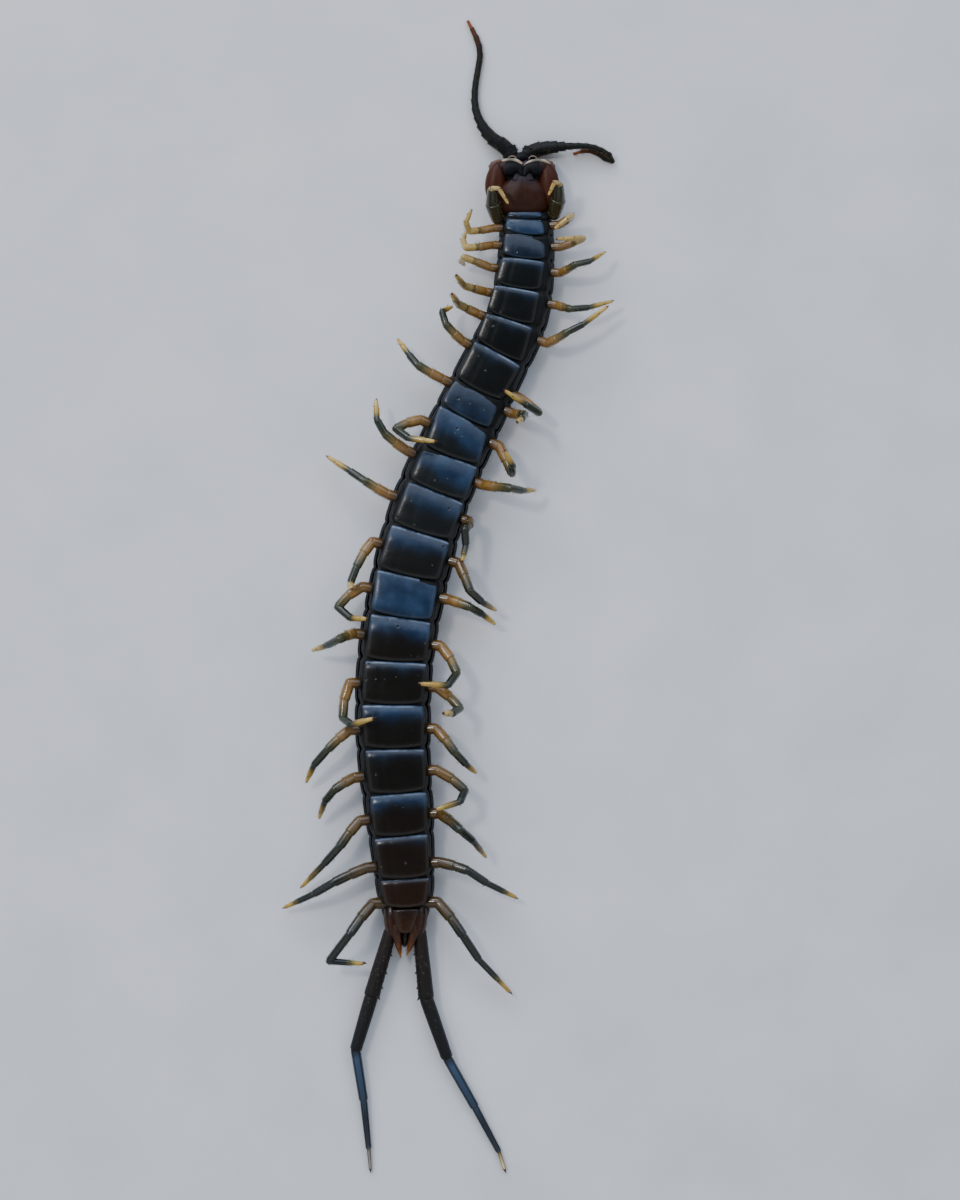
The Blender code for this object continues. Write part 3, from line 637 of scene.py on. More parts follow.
def tube_points(route, radii, sides):
    """Points of a closed tube: a pole, rings square to the route, and a pole."""
    route = np.asarray(route, float)
    rings = [route[:1]]
    across = None
    turns = 2 * math.pi * np.arange(sides) / sides
    for index, radius in enumerate(radii):
        ahead = route[min(index + 1, len(route) - 1)]
        behind = route[max(index - 1, 0)]
        along = unit(ahead - behind)
        if across is None:
            across = np.cross(along, [0.0, 0.0, 1.0] if abs(along[2]) < 0.9 else [1.0, 0.0, 0.0])
        across = unit(across - along * across.dot(along))
        over = np.cross(along, across)
        rings.append(route[index] + radius * (np.outer(np.cos(turns), across)
                                              + np.outer(np.sin(turns), over)))
    rings.append(route[-1:])
    return np.concatenate(rings)


def add_tube(form, route, radii, sides, **values):
    """Closed round tube along a route."""
    form.add(tube_points(route, radii, sides), tube_faces(len(route), sides), **values)


def add_article(form, start, end, radii, sides, shape, place, reach=1.0):
    """One closed article from joint to joint, its radius by the shape's factors."""
    profile = smooth_route(shape, SHAPE_STEPS)
    profile[:, 1] = np.maximum(profile[:, 1], 0.02)
    steps = np.clip(np.maximum.accumulate(profile[:, 0]), 0, None)
    steps = steps + np.linspace(0, 0.002, len(steps))
    route = start + np.outer(steps, end - start)
    sizes = profile[:, 1] * np.interp(steps, [0, 1], radii)
    places = np.repeat(place + np.clip(steps, 0, 1) * reach, sides)
    points = tube_points(route, sizes, sides)
    rises = (points[1:-1, 2] - np.repeat(route[:, 2], sides)) / np.repeat(sizes, sides)
    form.add(points, tube_faces(len(route), sides), rise=np.pad(rises, 1),
             place=np.pad(places, 1, "edge"))


def add_joint(form, middle, along, radius, sides, place):
    """Ring of skin that shows between two articles."""
    half = unit(along) * radius
    add_article(form, middle - half, middle + half, (radius, radius), sides, JOINT_SHAPE, place, 0.0)


def leg_joints(pair, side_name):
    """Ends of a leg's articles from the flank to the tip of the claw."""
    root, facing = leg_root(pair, side_name)
    start = root + facing * JOINT_GAP
    socket = start + facing * (FIRST_COXA_LENGTH if pair == 1 else COXA_LENGTH)
    knee, ankle, tip = [plan(*mark) for mark in LEG_MARKS[side_name][pair - 1]]
    thigh_way = unit(knee - socket)
    bend = unit(facing + thigh_way) - unit(thigh_way + unit(ankle - knee))
    middle = (socket + knee) / 2 + bend * np.linalg.norm(knee - socket) * BOW
    heel = ankle + (tip - ankle) * TARSUS_SPLIT
    pad = ankle + (tip - ankle) * CLAW_START
    return root - facing * COXA_ROOT, facing, [socket, middle, knee, ankle, heel, pad], tip


def add_claw(form, start, tip, radius, droop, place):
    """Curved claw with two short spines beside its root."""
    middle = (start + tip) / 2 - droop * np.linalg.norm(tip - start) * 0.18
    route = smooth_route([start, middle, tip], 6)
    shares = np.linspace(0, 1, len(route))
    add_tube(form, route, radius * np.interp(shares, *zip(*CLAW_SHAPE)), 8, place=place, rise=0.0)
    sideways = unit(np.cross(tip - start, droop))
    for side in (-1, 1):
        root = start + sideways * side * radius * 0.6
        spine = [root, root + (tip - start) * 0.3 + sideways * side * radius * 0.5]
        add_tube(form, spine, [radius * 0.35, radius * 0.04], 6, place=place, rise=0.0)


def add_spine(form, root, direction, length, radius, sides=8, **values):
    """Short pointed cone on a swollen foot."""
    route = root + np.outer(SPINE_PLACES * length, direction)
    add_tube(form, route, radius * SPINE_SHAPE, sides, **values)


def weather(tree, where, colour, size, shades, glosses, detail=3.0):
    """The colour in darker and lighter patches, and a roughness that changes with them."""
    mottle = add_node(tree, "ShaderNodeTexNoise", {"Vector": where, "Scale": 1 / (size * MM),
                                                   "Detail": detail})
    shade, gloss = [add_node(tree, "ShaderNodeMapRange", {"Value": mottle, "To Min": low, "To Max": high})
                    for low, high in (shades, glosses)]
    return add_node(tree, "ShaderNodeVectorMath", {0: colour, "Scale": shade}, operation="SCALE"), gloss


def leg_material():
    """Thin chitin of the legs: amber and half clear, glossy, dark towards the shin."""
    material, tree, where, place, darkness, paleness = start_material(
        "amber_leg_chitin", "place", "darkness", "paleness")
    share = add_node(tree, "ShaderNodeMath", {0: place, 1: 7.0}, operation="DIVIDE")
    bright = add_node(tree, "ShaderNodeValToRGB", {"Fac": share},
                      [(0.0, "#2a2010"), (0.07, "#483415"), (0.13, "#7b5827"), (0.24, "#926d35"),
                       (0.31, "#786130"), (0.4, "#40401f"), (0.48, "#222b19"), (0.57, "#1a271b"),
                       (0.6, "#4a4420"), (0.66, "#b08f3c"), (0.8, "#cfae58"), (0.87, "#bb8c3a"),
                       (0.93, "#4a2410")])
    dark = add_node(tree, "ShaderNodeValToRGB", {"Fac": share},
                    [(0.0, "#1f180b"), (0.1, "#483414"), (0.2, "#4d3916"), (0.3, "#383014"),
                     (0.4, "#141c13"), (0.56, "#0e1b17"), (0.68, "#14211a"), (0.72, "#6b6230"),
                     (0.78, "#bd9d48"), (0.88, "#b5822c"), (0.93, "#4a2208")])
    mixed = add_node(tree, "ShaderNodeMix", {0: darkness, 6: bright, 7: dark}, data_type="RGBA")
    golden = add_node(tree, "ShaderNodeMix", {0: paleness, 6: mixed, 7: paint("#c2a25a")},
                      data_type="RGBA")
    colour, gloss = weather(tree, where, golden, 0.5, (0.7, 1.3), (0.18, 0.34))
    return finish_material(material, Base_Color=colour, Roughness=gloss, IOR=1.54, Coat_Weight=0.6,
                           Coat_Roughness=0.06, Specular_IOR_Level=0.35, Subsurface_Weight=0.08,
                           Subsurface_Scale=0.2 * MM, Normal=relief(tree, where, 0.06, 0.12, 0.008))


def leg_tones(pair, side_name, places):
    """Values that colour a leg: dark olive thighs on the first pair, and some pale shins."""
    thigh = np.clip((FIRST_THIGH_END if pair == 1 else THIGH_END) - places, 0, 0.1) / 0.1
    darkness = max(DARK_LEGS.get((side_name, pair), 0.0),
                   float(np.clip((pair - LAST_BRIGHT_PAIR) / PAIRS_TO_DARK, 0, 1)))
    strength = 0.9 if pair <= PALE_SHINNED_PAIRS else PALE_SHINS.get((side_name, pair), 0.0)
    tones = {"place": places, "darkness": np.full(len(places), darkness),
             "paleness": (1 - thigh) * np.clip(FOOT_END - places, 0, 1) * strength}
    if pair == 1:
        tones["darkness"] = 0.9 * thigh
        tones["place"] = np.where(places < 3, 2.2 + 0.15 * places, places)
    return tones


leg_chitin = leg_material()
bristle_ground = Form()
for side_name in SIDES:
    for pair in range(1, SEGMENTS + 1):
        radius = float(np.interp(pair, SIZED_LEGS, LEG_RADII))
        hidden_root, facing, joints, tip = leg_joints(pair, side_name)
        leg_form = Form()
        add_article(leg_form, hidden_root, joints[0], (radius * 1.15, radius * 1.05), LEG_SIDES,
                    ARTICLE_SHAPE, 0.0)
        for place, ((near, far), start, end) in enumerate(zip(LEG_GIRTHS, joints, joints[1:]), 1):
            if pair == 1:
                near_girth, far_girth = FIRST_LEG_GIRTHS[place - 1]
                near, far = near * near_girth, far * far_girth
            add_joint(leg_form, start, end - start, radius * near * 0.93, LEG_SIDES, place - 0.05)
            add_article(leg_form, start, end, (radius * near, radius * far), LEG_SIDES,
                        ARTICLE_SHAPE, place)
        droop = unit(np.cross(np.cross(joints[-1] - joints[2], joints[2] - joints[0]),
                              tip - joints[-1]) + np.array([0.0, 0.0, 1e-6]))
        for joint, (near, far) in zip(joints[3:5], LEG_GIRTHS[2:4]):
            spur_root = joint + droop * radius * far * 0.7
            add_spine(leg_form, spur_root, unit(joints[5] - joints[3] + droop * 2), SPUR_LENGTH,
                      SPUR_RADIUS, 6, place=CLAW_PLACE, rise=0.0)
        add_claw(leg_form, joints[-1] + (joints[-2] - joints[-1]) * 0.1, tip, radius * CLAW_GIRTH,
                 droop, CLAW_PLACE)
        tones = leg_tones(pair, side_name, np.concatenate(leg_form.values["place"]))
        leg_form.values.update({name: [tone] for name, tone in tones.items()})
        bristle_ground.add(np.concatenate(leg_form.points), leg_form.faces)
        fit(leg_form.make(f"leg_{side_name}_{pair:02d}_chitin", leg_chitin), "leg",
            f"leg_{side_name}_{pair:02d}")


# Last legs: the 21st pair, longer and stouter than the rest, trail behind and never walk.
# They are purple-black and speckled, with short spines on the prefemur and a slender
# paler tarsus.
LAST_LEG_JOINTS = {
    "right": [(387, 943, 1.15), (371, 998, 0.9), (355, 1052, 0.75), (363, 1103, 0.5),
              (368, 1152, 0.3), (370, 1177, 0.26)],
    "left": [(420.5, 943, 1.15), (426, 1000, 0.9), (447, 1060, 0.75), (475, 1110, 0.5),
             (499, 1155, 0.3), (506, 1177, 0.26)]}
LAST_LEG_ARTICLES = [(0.52, 0.6), (0.56, 0.45), (0.4, 0.34), (0.3, 0.22), (0.16, 0.12)]
LAST_LEG_LEAD = 0.95
LAST_LEG_SIDES = 20
LAST_ARTICLE_SHAPE = [(0.0, 0.0), (0.0, 0.75), (0.015, 0.9), (0.06, 0.95), (0.3, 0.98), (0.6, 1.0),
                      (0.86, 1.0), (0.95, 1.02), (0.985, 0.96), (1.0, 0.8), (1.003, 0.0)]
SPINE_ROWS = [(-0.6, [0.28, 0.5, 0.72]), (0.25, [0.35, 0.62, 0.84]), (1.1, [0.3, 0.55]),
              (2.3, [0.45, 0.75])]
SPINE_LENGTH = 0.2
SPINE_RADIUS = 0.075
LAST_CLAW_LENGTH = 0.35
LAST_CLAW_RADIUS = 0.11
DULL_FEET = {"right": 0.85, "left": 0.0}


def last_leg_material():
    """Thick dark chitin with small pale pores, half clear along the tarsus, and on the tibia a painted
    highlight along the top and painted shade below.
    """
    material, tree, where, place, rise, dullness = start_material(
        "last_leg_chitin", "place", "rise", "dullness")
    share = add_node(tree, "ShaderNodeMath", {0: place, 1: 6.0}, operation="DIVIDE")
    tone = add_node(tree, "ShaderNodeValToRGB", {"Fac": share},
                    [(0.0, "#1b0f09"), (0.15, "#130d0a"), (0.22, "#0c0e0b"), (0.33, "#0b0d10"),
                     (0.36, "#33445a"), (0.5, "#2a3744"), (0.56, "#20262d"), (0.66, "#2a3036"),
                     (0.7, "#8f8050"), (0.8, "#d9c48e"), (0.87, "#c39a55"), (0.96, "#43210c")])
    foot = add_node(tree, "ShaderNodeMapRange", {"Value": place, "From Min": 3.9, "From Max": 4.3})
    dull_foot = add_node(tree, "ShaderNodeMath", {0: foot, 1: dullness}, operation="MULTIPLY")
    toned = add_node(tree, "ShaderNodeMix", {0: dull_foot, 6: tone, 7: paint("#6a6b6a")},
                     data_type="RGBA")
    # On the tibia the top is painted lighter and the underside darker: painted highlight and painted shade.
    painted_top_highlight = add_node(tree, "ShaderNodeMapRange", {"Value": rise, "From Min": 0.72, "From Max": 0.98,
                                                  "To Min": 0.4, "To Max": 1.4},
                     interpolation_type="SMOOTHSTEP")
    shin = add_node(tree, "ShaderNodeMapRange", {"Value": place, "From Min": 1.95, "From Max": 2.05})
    shading = add_node(tree, "ShaderNodeMix", {0: shin, 2: 1.0, 3: painted_top_highlight}, data_type="FLOAT")
    with_painted_highlight = add_node(tree, "ShaderNodeVectorMath", {0: toned, "Scale": shading}, operation="SCALE")
    pores = add_node(tree, "ShaderNodeTexVoronoi", {"Vector": where, "Scale": 1 / (0.3 * MM)})
    pore = add_node(tree, "ShaderNodeMapRange", {"Value": pores, "From Min": 0.24, "From Max": 0.1})
    near_root = add_node(tree, "ShaderNodeMapRange", {"Value": place, "From Min": 2.2, "From Max": 0.8,
                                                      "To Max": 0.7})
    speck = add_node(tree, "ShaderNodeMath", {0: pore, 1: near_root}, operation="MULTIPLY")
    colour = add_node(tree, "ShaderNodeMix", {0: speck, 6: with_painted_highlight, 7: paint("#56504a")},
                      data_type="RGBA")
    grain = add_node(tree, "ShaderNodeTexNoise", {"Vector": where, "Scale": 1 / (0.12 * MM),
                                                  "Detail": 3.0})
    gloss = add_node(tree, "ShaderNodeMapRange", {"Value": place, "From Min": 1.9, "From Max": 2.1,
                                                  "To Min": 0.45, "To Max": 0.12})
    patchy = add_node(tree, "ShaderNodeMath", {0: grain, 1: 0.15, 2: gloss}, operation="MULTIPLY_ADD")
    bump = add_node(tree, "ShaderNodeBump", {"Strength": 0.4, "Distance": 0.015 * MM, "Height": grain})
    return finish_material(material, Base_Color=colour, Roughness=patchy, IOR=1.54,
                           Specular_IOR_Level=0.32, Normal=bump)


last_leg_chitin = last_leg_material()
for side_name, side in SIDES.items():
    marks = [plan(*mark) for mark in LAST_LEG_JOINTS[side_name]]
    root_way = unit(marks[0] - marks[1])
    marks[0] = marks[0] + root_way * LAST_LEG_LEAD
    tip_way = unit(marks[-1] - marks[-2])
    marks[-1] = marks[-1] - tip_way * LAST_CLAW_LENGTH
    last_form = Form()
    for article, ((near, far), start, end) in enumerate(zip(LAST_LEG_ARTICLES, marks, marks[1:])):
        if article:
            add_joint(last_form, start, end - start, near * 0.9, LAST_LEG_SIDES, article - 0.1)
        add_article(last_form, start, end, (near, far), LAST_LEG_SIDES, LAST_ARTICLE_SHAPE,
                    float(article))
    add_claw(last_form, marks[-1] - tip_way * 0.05, marks[-1] + tip_way * LAST_CLAW_LENGTH,
             LAST_CLAW_RADIUS, np.array([0.0, 0.0, 1.0]), 6.0)
    along = unit(marks[1] - marks[0])
    inward = unit(np.cross(along, [0.0, 0.0, 1.0])) * side
    upward = np.cross(along, inward) * side
    for turn, shares in SPINE_ROWS:
        outward = inward * math.cos(turn) + upward * abs(math.sin(turn)) * np.sign(turn)
        for share in shares:
            radius = float(np.interp(share, [0, 1], LAST_LEG_ARTICLES[0]))
            root = marks[0] + (marks[1] - marks[0]) * share + outward * radius * 0.98
            add_spine(last_form, root, unit(outward + 0.55 * along), SPINE_LENGTH, SPINE_RADIUS,
                      place=0.3, rise=0.0)
    corner = marks[1] + inward * LAST_LEG_ARTICLES[0][1] * 0.8 - along * 0.12
    add_spine(last_form, corner, unit(inward + along), SPINE_LENGTH * 1.6, SPINE_RADIUS * 1.5,
              place=0.4, rise=0.0)
    last_form.values["dullness"] = [np.full(last_form.count, DULL_FEET[side_name])]
    fit(last_form.make(f"leg_{side_name}_21_chitin", last_leg_chitin), "last_leg",
        f"leg_{side_name}_21")


# Tail end: the last belly plate and, on each side, a swollen coxopleura that runs back into
# a pointed process. Both are red-brown chitin, and between the processes lies the dark
# soft cone of the vent.
TAIL_SKIN_RINGS = [(-0.02, 0.9, 0.9), (0.15, 0.95, 0.97), (0.5, 0.95, 0.97), (0.75, 0.86, 0.9),
                   (0.95, 0.62, 0.72), (1.05, 0.3, 0.5)]
COXOPLEURA_MARKS = {
    "right": [(391.5, 902, 1.3), (391.8, 914, 1.35), (392.5, 926, 1.35), (394.3, 936, 1.3),
              (395, 941, 1.25)],
    "left": [(419.5, 902, 1.3), (419, 914, 1.35), (418, 926, 1.35), (415.6, 936, 1.3),
             (414.5, 941, 1.25)]}
COXOPLEURA_RADII = [0.42, 0.62, 0.62, 0.48, 0.2]
PROCESS_MARKS = {
    "right": [(396.5, 922, 1.75), (397, 934, 1.75), (398.5, 946, 1.6), (400.5, 957.5, 1.35)],
    "left": [(414, 922, 1.75), (413, 934, 1.75), (410.5, 945, 1.6), (406.8, 955.5, 1.35)]}
PROCESS_RADII = [0.3, 0.33, 0.25, 0.05]
PROCESS_SPINE_LENGTH = 0.12
PROCESS_SPINE_RADIUS = 0.035
COXOPLEURA_SIDES = 28
LOBE_STEPS = 6
LAST_PLATE_FRONT = ((391, 909), (421, 908))
LAST_PLATE_REAR = ((396.5, 933), (413.5, 933))
LAST_PLATE_LEVEL = 2.28
LAST_PLATE_THICKNESS = 0.35
LAST_PLATE_GRID = 24
VENT_MARKS = [(405, 925, 1.2), (405, 937, 1.2), (404.5, 944, 1.15), (404.5, 948, 1.1)]
VENT_RADII = [0.45, 0.42, 0.3, 0.08]


def tail_material():
    """Chitin of the tail end: red-brown, clear as resin towards the points, with fine pores."""
    material, tree, where, place = start_material("red_brown_tail_chitin", "place")
    tone = add_node(tree, "ShaderNodeValToRGB", {"Fac": place},
                    [(0.0, "#0c0604"), (0.3, "#26160a"), (0.45, "#331b0c"), (0.6, "#452410"),
                     (0.75, "#6b3d17"), (0.92, "#a0642a"), (1.0, "#d9b07a")])
    colour, gloss = weather(tree, where, tone, 0.45, (0.6, 1.4), (0.2, 0.36))
    pores = add_node(tree, "ShaderNodeTexVoronoi", {"Vector": where, "Scale": 1 / (0.12 * MM)})
    bump = add_node(tree, "ShaderNodeBump", {"Strength": 0.5, "Distance": 0.02 * MM, "Height": pores})
    return finish_material(material, Base_Color=colour, Roughness=gloss, IOR=1.54,
                           Specular_IOR_Level=0.35, Subsurface_Weight=0.1, Subsurface_Scale=0.3 * MM,
                           Normal=bump)


def add_lobe(form, marks, radii, sides, squash=1.0, **values):
    """Smooth swollen tube along marks of the plan, flattened about its own level by the squash."""
    route = smooth_route([plan(*mark) for mark in marks], LOBE_STEPS)
    smooth_radii = smooth_route([[radius] for radius in radii], LOBE_STEPS)[:, 0]
    places = np.linspace(0, len(radii) - 1, len(route)) / (len(radii) - 1)
    points = tube_points(route, np.maximum(smooth_radii, 0.01), sides)
    levels = np.pad(np.repeat(route[:, 2], sides), 1, "edge")
    points[:, 2] = levels + (points[:, 2] - levels) * squash
    ring_places = np.pad(np.repeat(places, sides), 1, "edge")
    measured = {name: value(ring_places) if callable(value) else value for name, value in values.items()}
    form.add(points, tube_faces(len(route), sides), **measured)


tail_chitin = tail_material()
tail_rings = []
for place, breadth, rise in TAIL_SKIN_RINGS:
    distance = segment_front(TERGITES) + place * TAIL_LENGTH
    width, height = trunk_size(TERGITES, 0.5)
    ring_points = TRUNK.point(distance) + np.outer(skin_ring[:, 0] * width / 2 * breadth,
                                                   towards_left(distance))
    ring_points[:, 2] = skin_ring[:, 1] * height * rise
    tail_rings.append(ring_points)
tail_form = Form()
tail_form.add(with_poles(tail_rings), tube_faces(len(tail_rings), len(skin_ring)), place=0.1)
add_lobe(tail_form, VENT_MARKS, VENT_RADII, 16, place=0.05)
for side_name in SIDES:
    add_lobe(tail_form, COXOPLEURA_MARKS[side_name], COXOPLEURA_RADII, COXOPLEURA_SIDES,
             place=lambda share: 0.22 + 0.24 * np.sin(math.pi * share))
    add_lobe(tail_form, PROCESS_MARKS[side_name], PROCESS_RADII, 16,
             place=lambda share: 0.46 + 0.48 * share ** 1.8)
    before, tip = [plan(*mark) for mark in PROCESS_MARKS[side_name][-2:]]
    for sideways in (-0.24, 0.24):
        way = unit(tip - before + np.array([sideways, 0.0, 0.1]))
        add_spine(tail_form, tip, way, PROCESS_SPINE_LENGTH, PROCESS_SPINE_RADIUS, 6, place=0.4)


def last_plate_surface(u, v):
    s = 0.5 + 0.5 * u * (1 - 0.08 * np.abs(v) ** 6)
    t = 0.5 + 0.5 * v * (1 - 0.06 * np.abs(u) ** 6)
    points = between_corners(LAST_PLATE_FRONT, LAST_PLATE_REAR, s, t)
    rim = rounded_rim(np.maximum(np.abs(u), np.abs(v)), 0.16, 10)
    groove = 0.05 * np.exp(-(u / 0.12) ** 2) * (0.5 + 0.5 * v)
    slope = 0.18 * u ** 2 + 0.14 * np.clip(t - 0.5, 0, 1) ** 2
    points[:, 2] = LAST_PLATE_LEVEL - slope - groove - rim
    return points


add_plate(tail_form, last_plate_surface, LAST_PLATE_GRID, LAST_PLATE_GRID, LAST_PLATE_THICKNESS,
          place=lambda u, v: 0.28 + 0.22 * (v + 1) / 2)
fit(tail_form.make("tail_end", tail_chitin), "tail", "terminal_segment")


# Head capsule: a round flat shield of red-brown chitin that lies on the floor, with thin
# pinkish edges at the front whose pale pink is a painted highlight, and a pale arch of skin in
# front of each feeler's socket.
HEAD_MIDDLE = (522, 184.5)
HEAD_HALF_WIDTH = 2.25
HEAD_HALF_LENGTH = 2.05
HEAD_ROUNDNESS = 2.5
HEAD_LAYERS = [(0.0, 0.02), (0.0, 0.45), (0.02, 0.7), (0.08, 0.83), (0.2, 0.93), (0.38, 0.98),
               (0.55, 1.0), (0.72, 0.98), (0.86, 0.9), (0.95, 0.75), (0.98, 0.4), (0.98, 0.02)]
HEAD_SIDES = 72
HEAD_TONE = 0.35
SOCKET_MARKS = {"right": (512.3, 158.2, 1.4), "left": (533, 158.2, 1.4)}
SOCKET_RADIUS = 0.3
SOCKET_THICKNESS = 0.055
SOCKET_STEPS = 17
FRONT_EDGE_MARKS = {
    "right": [(489.5, 170.5, 1.0), (492, 165.5, 1.15), (495.5, 162, 1.25), (499.5, 160.5, 1.3),
              (504, 160.8, 1.3)],
    "left": [(555, 169.5, 1.0), (552.5, 165.5, 1.15), (548, 162, 1.25), (543, 160.6, 1.3),
             (538.5, 160.6, 1.3)]}
FRONT_EDGE_RADII = [0.1, 0.18, 0.21, 0.18, 0.1]
BROW_MARKS = [(515, 157.5, 0.95), (519, 156.5, 1.0), (524, 156, 1.0), (529, 157, 0.95)]
BROW_RADII = [0.3, 0.42, 0.42, 0.3]


def head_material():
    """Thick red-brown chitin, its purple a painted sheen, black at the fangs' points."""
    material, tree, where, place = start_material("red_brown_head_chitin", "place")
    tone = add_node(tree, "ShaderNodeValToRGB", {"Fac": place},
                    [(0.0, "#93806f"), (0.12, "#632f20"), (0.3, "#431e0d"), (0.5, "#301910"),
                     (0.62, "#271d26"), (0.75, "#0b0b0f"), (1.0, "#050609")])
    colour, gloss = weather(tree, where, tone, 0.6, (0.6, 1.4), (0.34, 0.5), 4.0)
    black = add_node(tree, "ShaderNodeMapRange", {"Value": place, "From Min": 0.55, "From Max": 0.75,
                                                  "To Max": 0.14})
    dull = add_node(tree, "ShaderNodeMath", {0: gloss, 1: black}, operation="ADD")
    return finish_material(material, Base_Color=colour, Roughness=dull, IOR=1.54, Specular_IOR_Level=0.2,
                           Normal=relief(tree, where, 0.1, 0.25, 0.01))


head_chitin = head_material()
head_middle = plan(*HEAD_MIDDLE)
turns = 2 * math.pi * np.arange(HEAD_SIDES) / HEAD_SIDES
power = 2 / HEAD_ROUNDNESS
outline_across, outline_forward = [np.sign(wave) * np.abs(wave) ** power * half_size for wave, half_size
                                   in ((np.cos(turns), HEAD_HALF_WIDTH), (np.sin(turns), HEAD_HALF_LENGTH))]
frontal = np.clip(outline_forward / HEAD_HALF_LENGTH, 0, 1)
head_rings = []
head_places = []
for level, scale in smooth_route(HEAD_LAYERS, 2):
    head_rings.append(head_middle + np.stack([outline_across * scale, outline_forward * scale,
                                              np.full(HEAD_SIDES, max(level, 0.0))], axis=1))
    # The outer rim of the capsule's front is painted paler: a painted highlight.
    head_places.append(HEAD_TONE - 0.33 * frontal ** 2 * np.clip((scale - 0.85) / 0.1, 0, 1))
capsule_form = Form()
capsule_form.add(with_poles(head_rings), tube_faces(len(head_rings), HEAD_SIDES),
                 place=np.pad(np.concatenate(head_places), 1, "edge"))
for mark in SOCKET_MARKS.values():
    arch = np.linspace(-0.1 * math.pi, 1.1 * math.pi, SOCKET_STEPS)
    arch_route = plan(*mark) + SOCKET_RADIUS * np.stack([np.cos(arch), 0.8 * np.sin(arch),
                                                         -0.25 * np.sin(arch)], axis=1)
    thickness = SOCKET_THICKNESS * (0.25 + 0.75 * np.sin(np.linspace(0, math.pi, SOCKET_STEPS)))
    add_tube(capsule_form, arch_route, thickness, 8, place=0.0)
# The pinkish front edges: their pale pink is a painted highlight.
for marks in FRONT_EDGE_MARKS.values():
    add_lobe(capsule_form, marks, FRONT_EDGE_RADII, 14, 0.6, place=0.09)
add_lobe(capsule_form, BROW_MARKS, BROW_RADII, 18, place=0.85)
fit(capsule_form.make("head_capsule", head_chitin), "head", "head")


# Venom-claw shield, or coxosternite: the broad domed plate under the head that carries the
# venom claws. It is thick red-brown chitin with a seam down the middle, and two tooth
# plates stand at its front edge.
SHIELD_ROWS = [213.5, 209, 203, 196, 189, 183, 178, 174.5]
SHIELD_HALF_WIDTHS = [20, 23.5, 25.5, 26, 24, 19.5, 13.5, 8]
SHIELD_LEVELS = [2.3, 2.5, 2.62, 2.66, 2.66, 2.6, 2.5, 2.36]
SHIELD_MIDDLE = 523.0
SHIELD_CROWN = 0.6
SHIELD_COLUMNS = 44
SHIELD_LINES = 40
SHIELD_THICKNESS = 0.9
TOOTH_PLATES = {"right": 518.2, "left": 528.2}
TOOTH_PLATE_GRID = 14
TOOTH_PLATE_THICKNESS = 0.3
TOOTH_PLATE_FRONT = 171.5
TEETH = 4
TOOTH_SPACING = 2.1
TOOTH_LENGTH = 0.16
TOOTH_RADIUS = 0.08


def shield_surface(u, v):
    shares = 0.5 + 0.5 * v
    stations = shares * (len(SHIELD_ROWS) - 1)
    smooth = smooth_route(list(zip(SHIELD_ROWS, SHIELD_HALF_WIDTHS, SHIELD_LEVELS)), 8)
    steps = np.linspace(0, len(SHIELD_ROWS) - 1, len(smooth))
    row, half, level = [np.interp(stations, steps, smooth[:, column]) for column in range(3)]
    points = plan(SHIELD_MIDDLE + u * half, row)
    seam = 0.05 * np.exp(-(u / 0.035) ** 2) * np.clip(1.4 - shares, 0, 1)
    hollow = 0.08 * np.exp(-((np.abs(u) - 0.45) / 0.2) ** 2) * np.exp(-((shares - 0.7) / 0.12) ** 2)
    rim = rounded_rim(np.abs(v), 0.3, 12)
    points[:, 2] = level - SHIELD_CROWN * np.abs(u) ** 2.6 - seam - hollow - rim
    return points


shield_form = Form()
# Towards its front the shield is painted violet: a painted sheen.
add_plate(shield_form, shield_surface, SHIELD_COLUMNS, SHIELD_LINES, SHIELD_THICKNESS,
          place=lambda u, v: 0.46 + 0.17 * np.clip((v - 0.25) / 0.4, 0, 1) - 0.1 * np.abs(u) ** 3)
for side_name, middle in TOOTH_PLATES.items():
    def tooth_surface(u, v):
        points = plan(middle + u * (5.0 - 0.9 * v), 176.5 - 4.5 * v)
        points[:, 2] = 2.42 - 0.06 * u ** 2 - 0.12 * v - 0.05 * np.maximum(np.abs(u), np.abs(v)) ** 8
        return points
    add_plate(shield_form, tooth_surface, TOOTH_PLATE_GRID, TOOTH_PLATE_GRID, TOOTH_PLATE_THICKNESS,
              place=lambda u, v: 0.68 + 0.06 * v)
    for tooth in range(TEETH):
        root = plan(middle + (tooth - (TEETH - 1) / 2) * TOOTH_SPACING, TOOTH_PLATE_FRONT + 0.6, 2.3)
        add_spine(shield_form, root, unit(np.array([0.0, 1.0, 0.1])), TOOTH_LENGTH, TOOTH_RADIUS,
                  place=0.8)
fit(shield_form.make("venom_claw_shield", head_chitin), "head", "forcipular_shield")


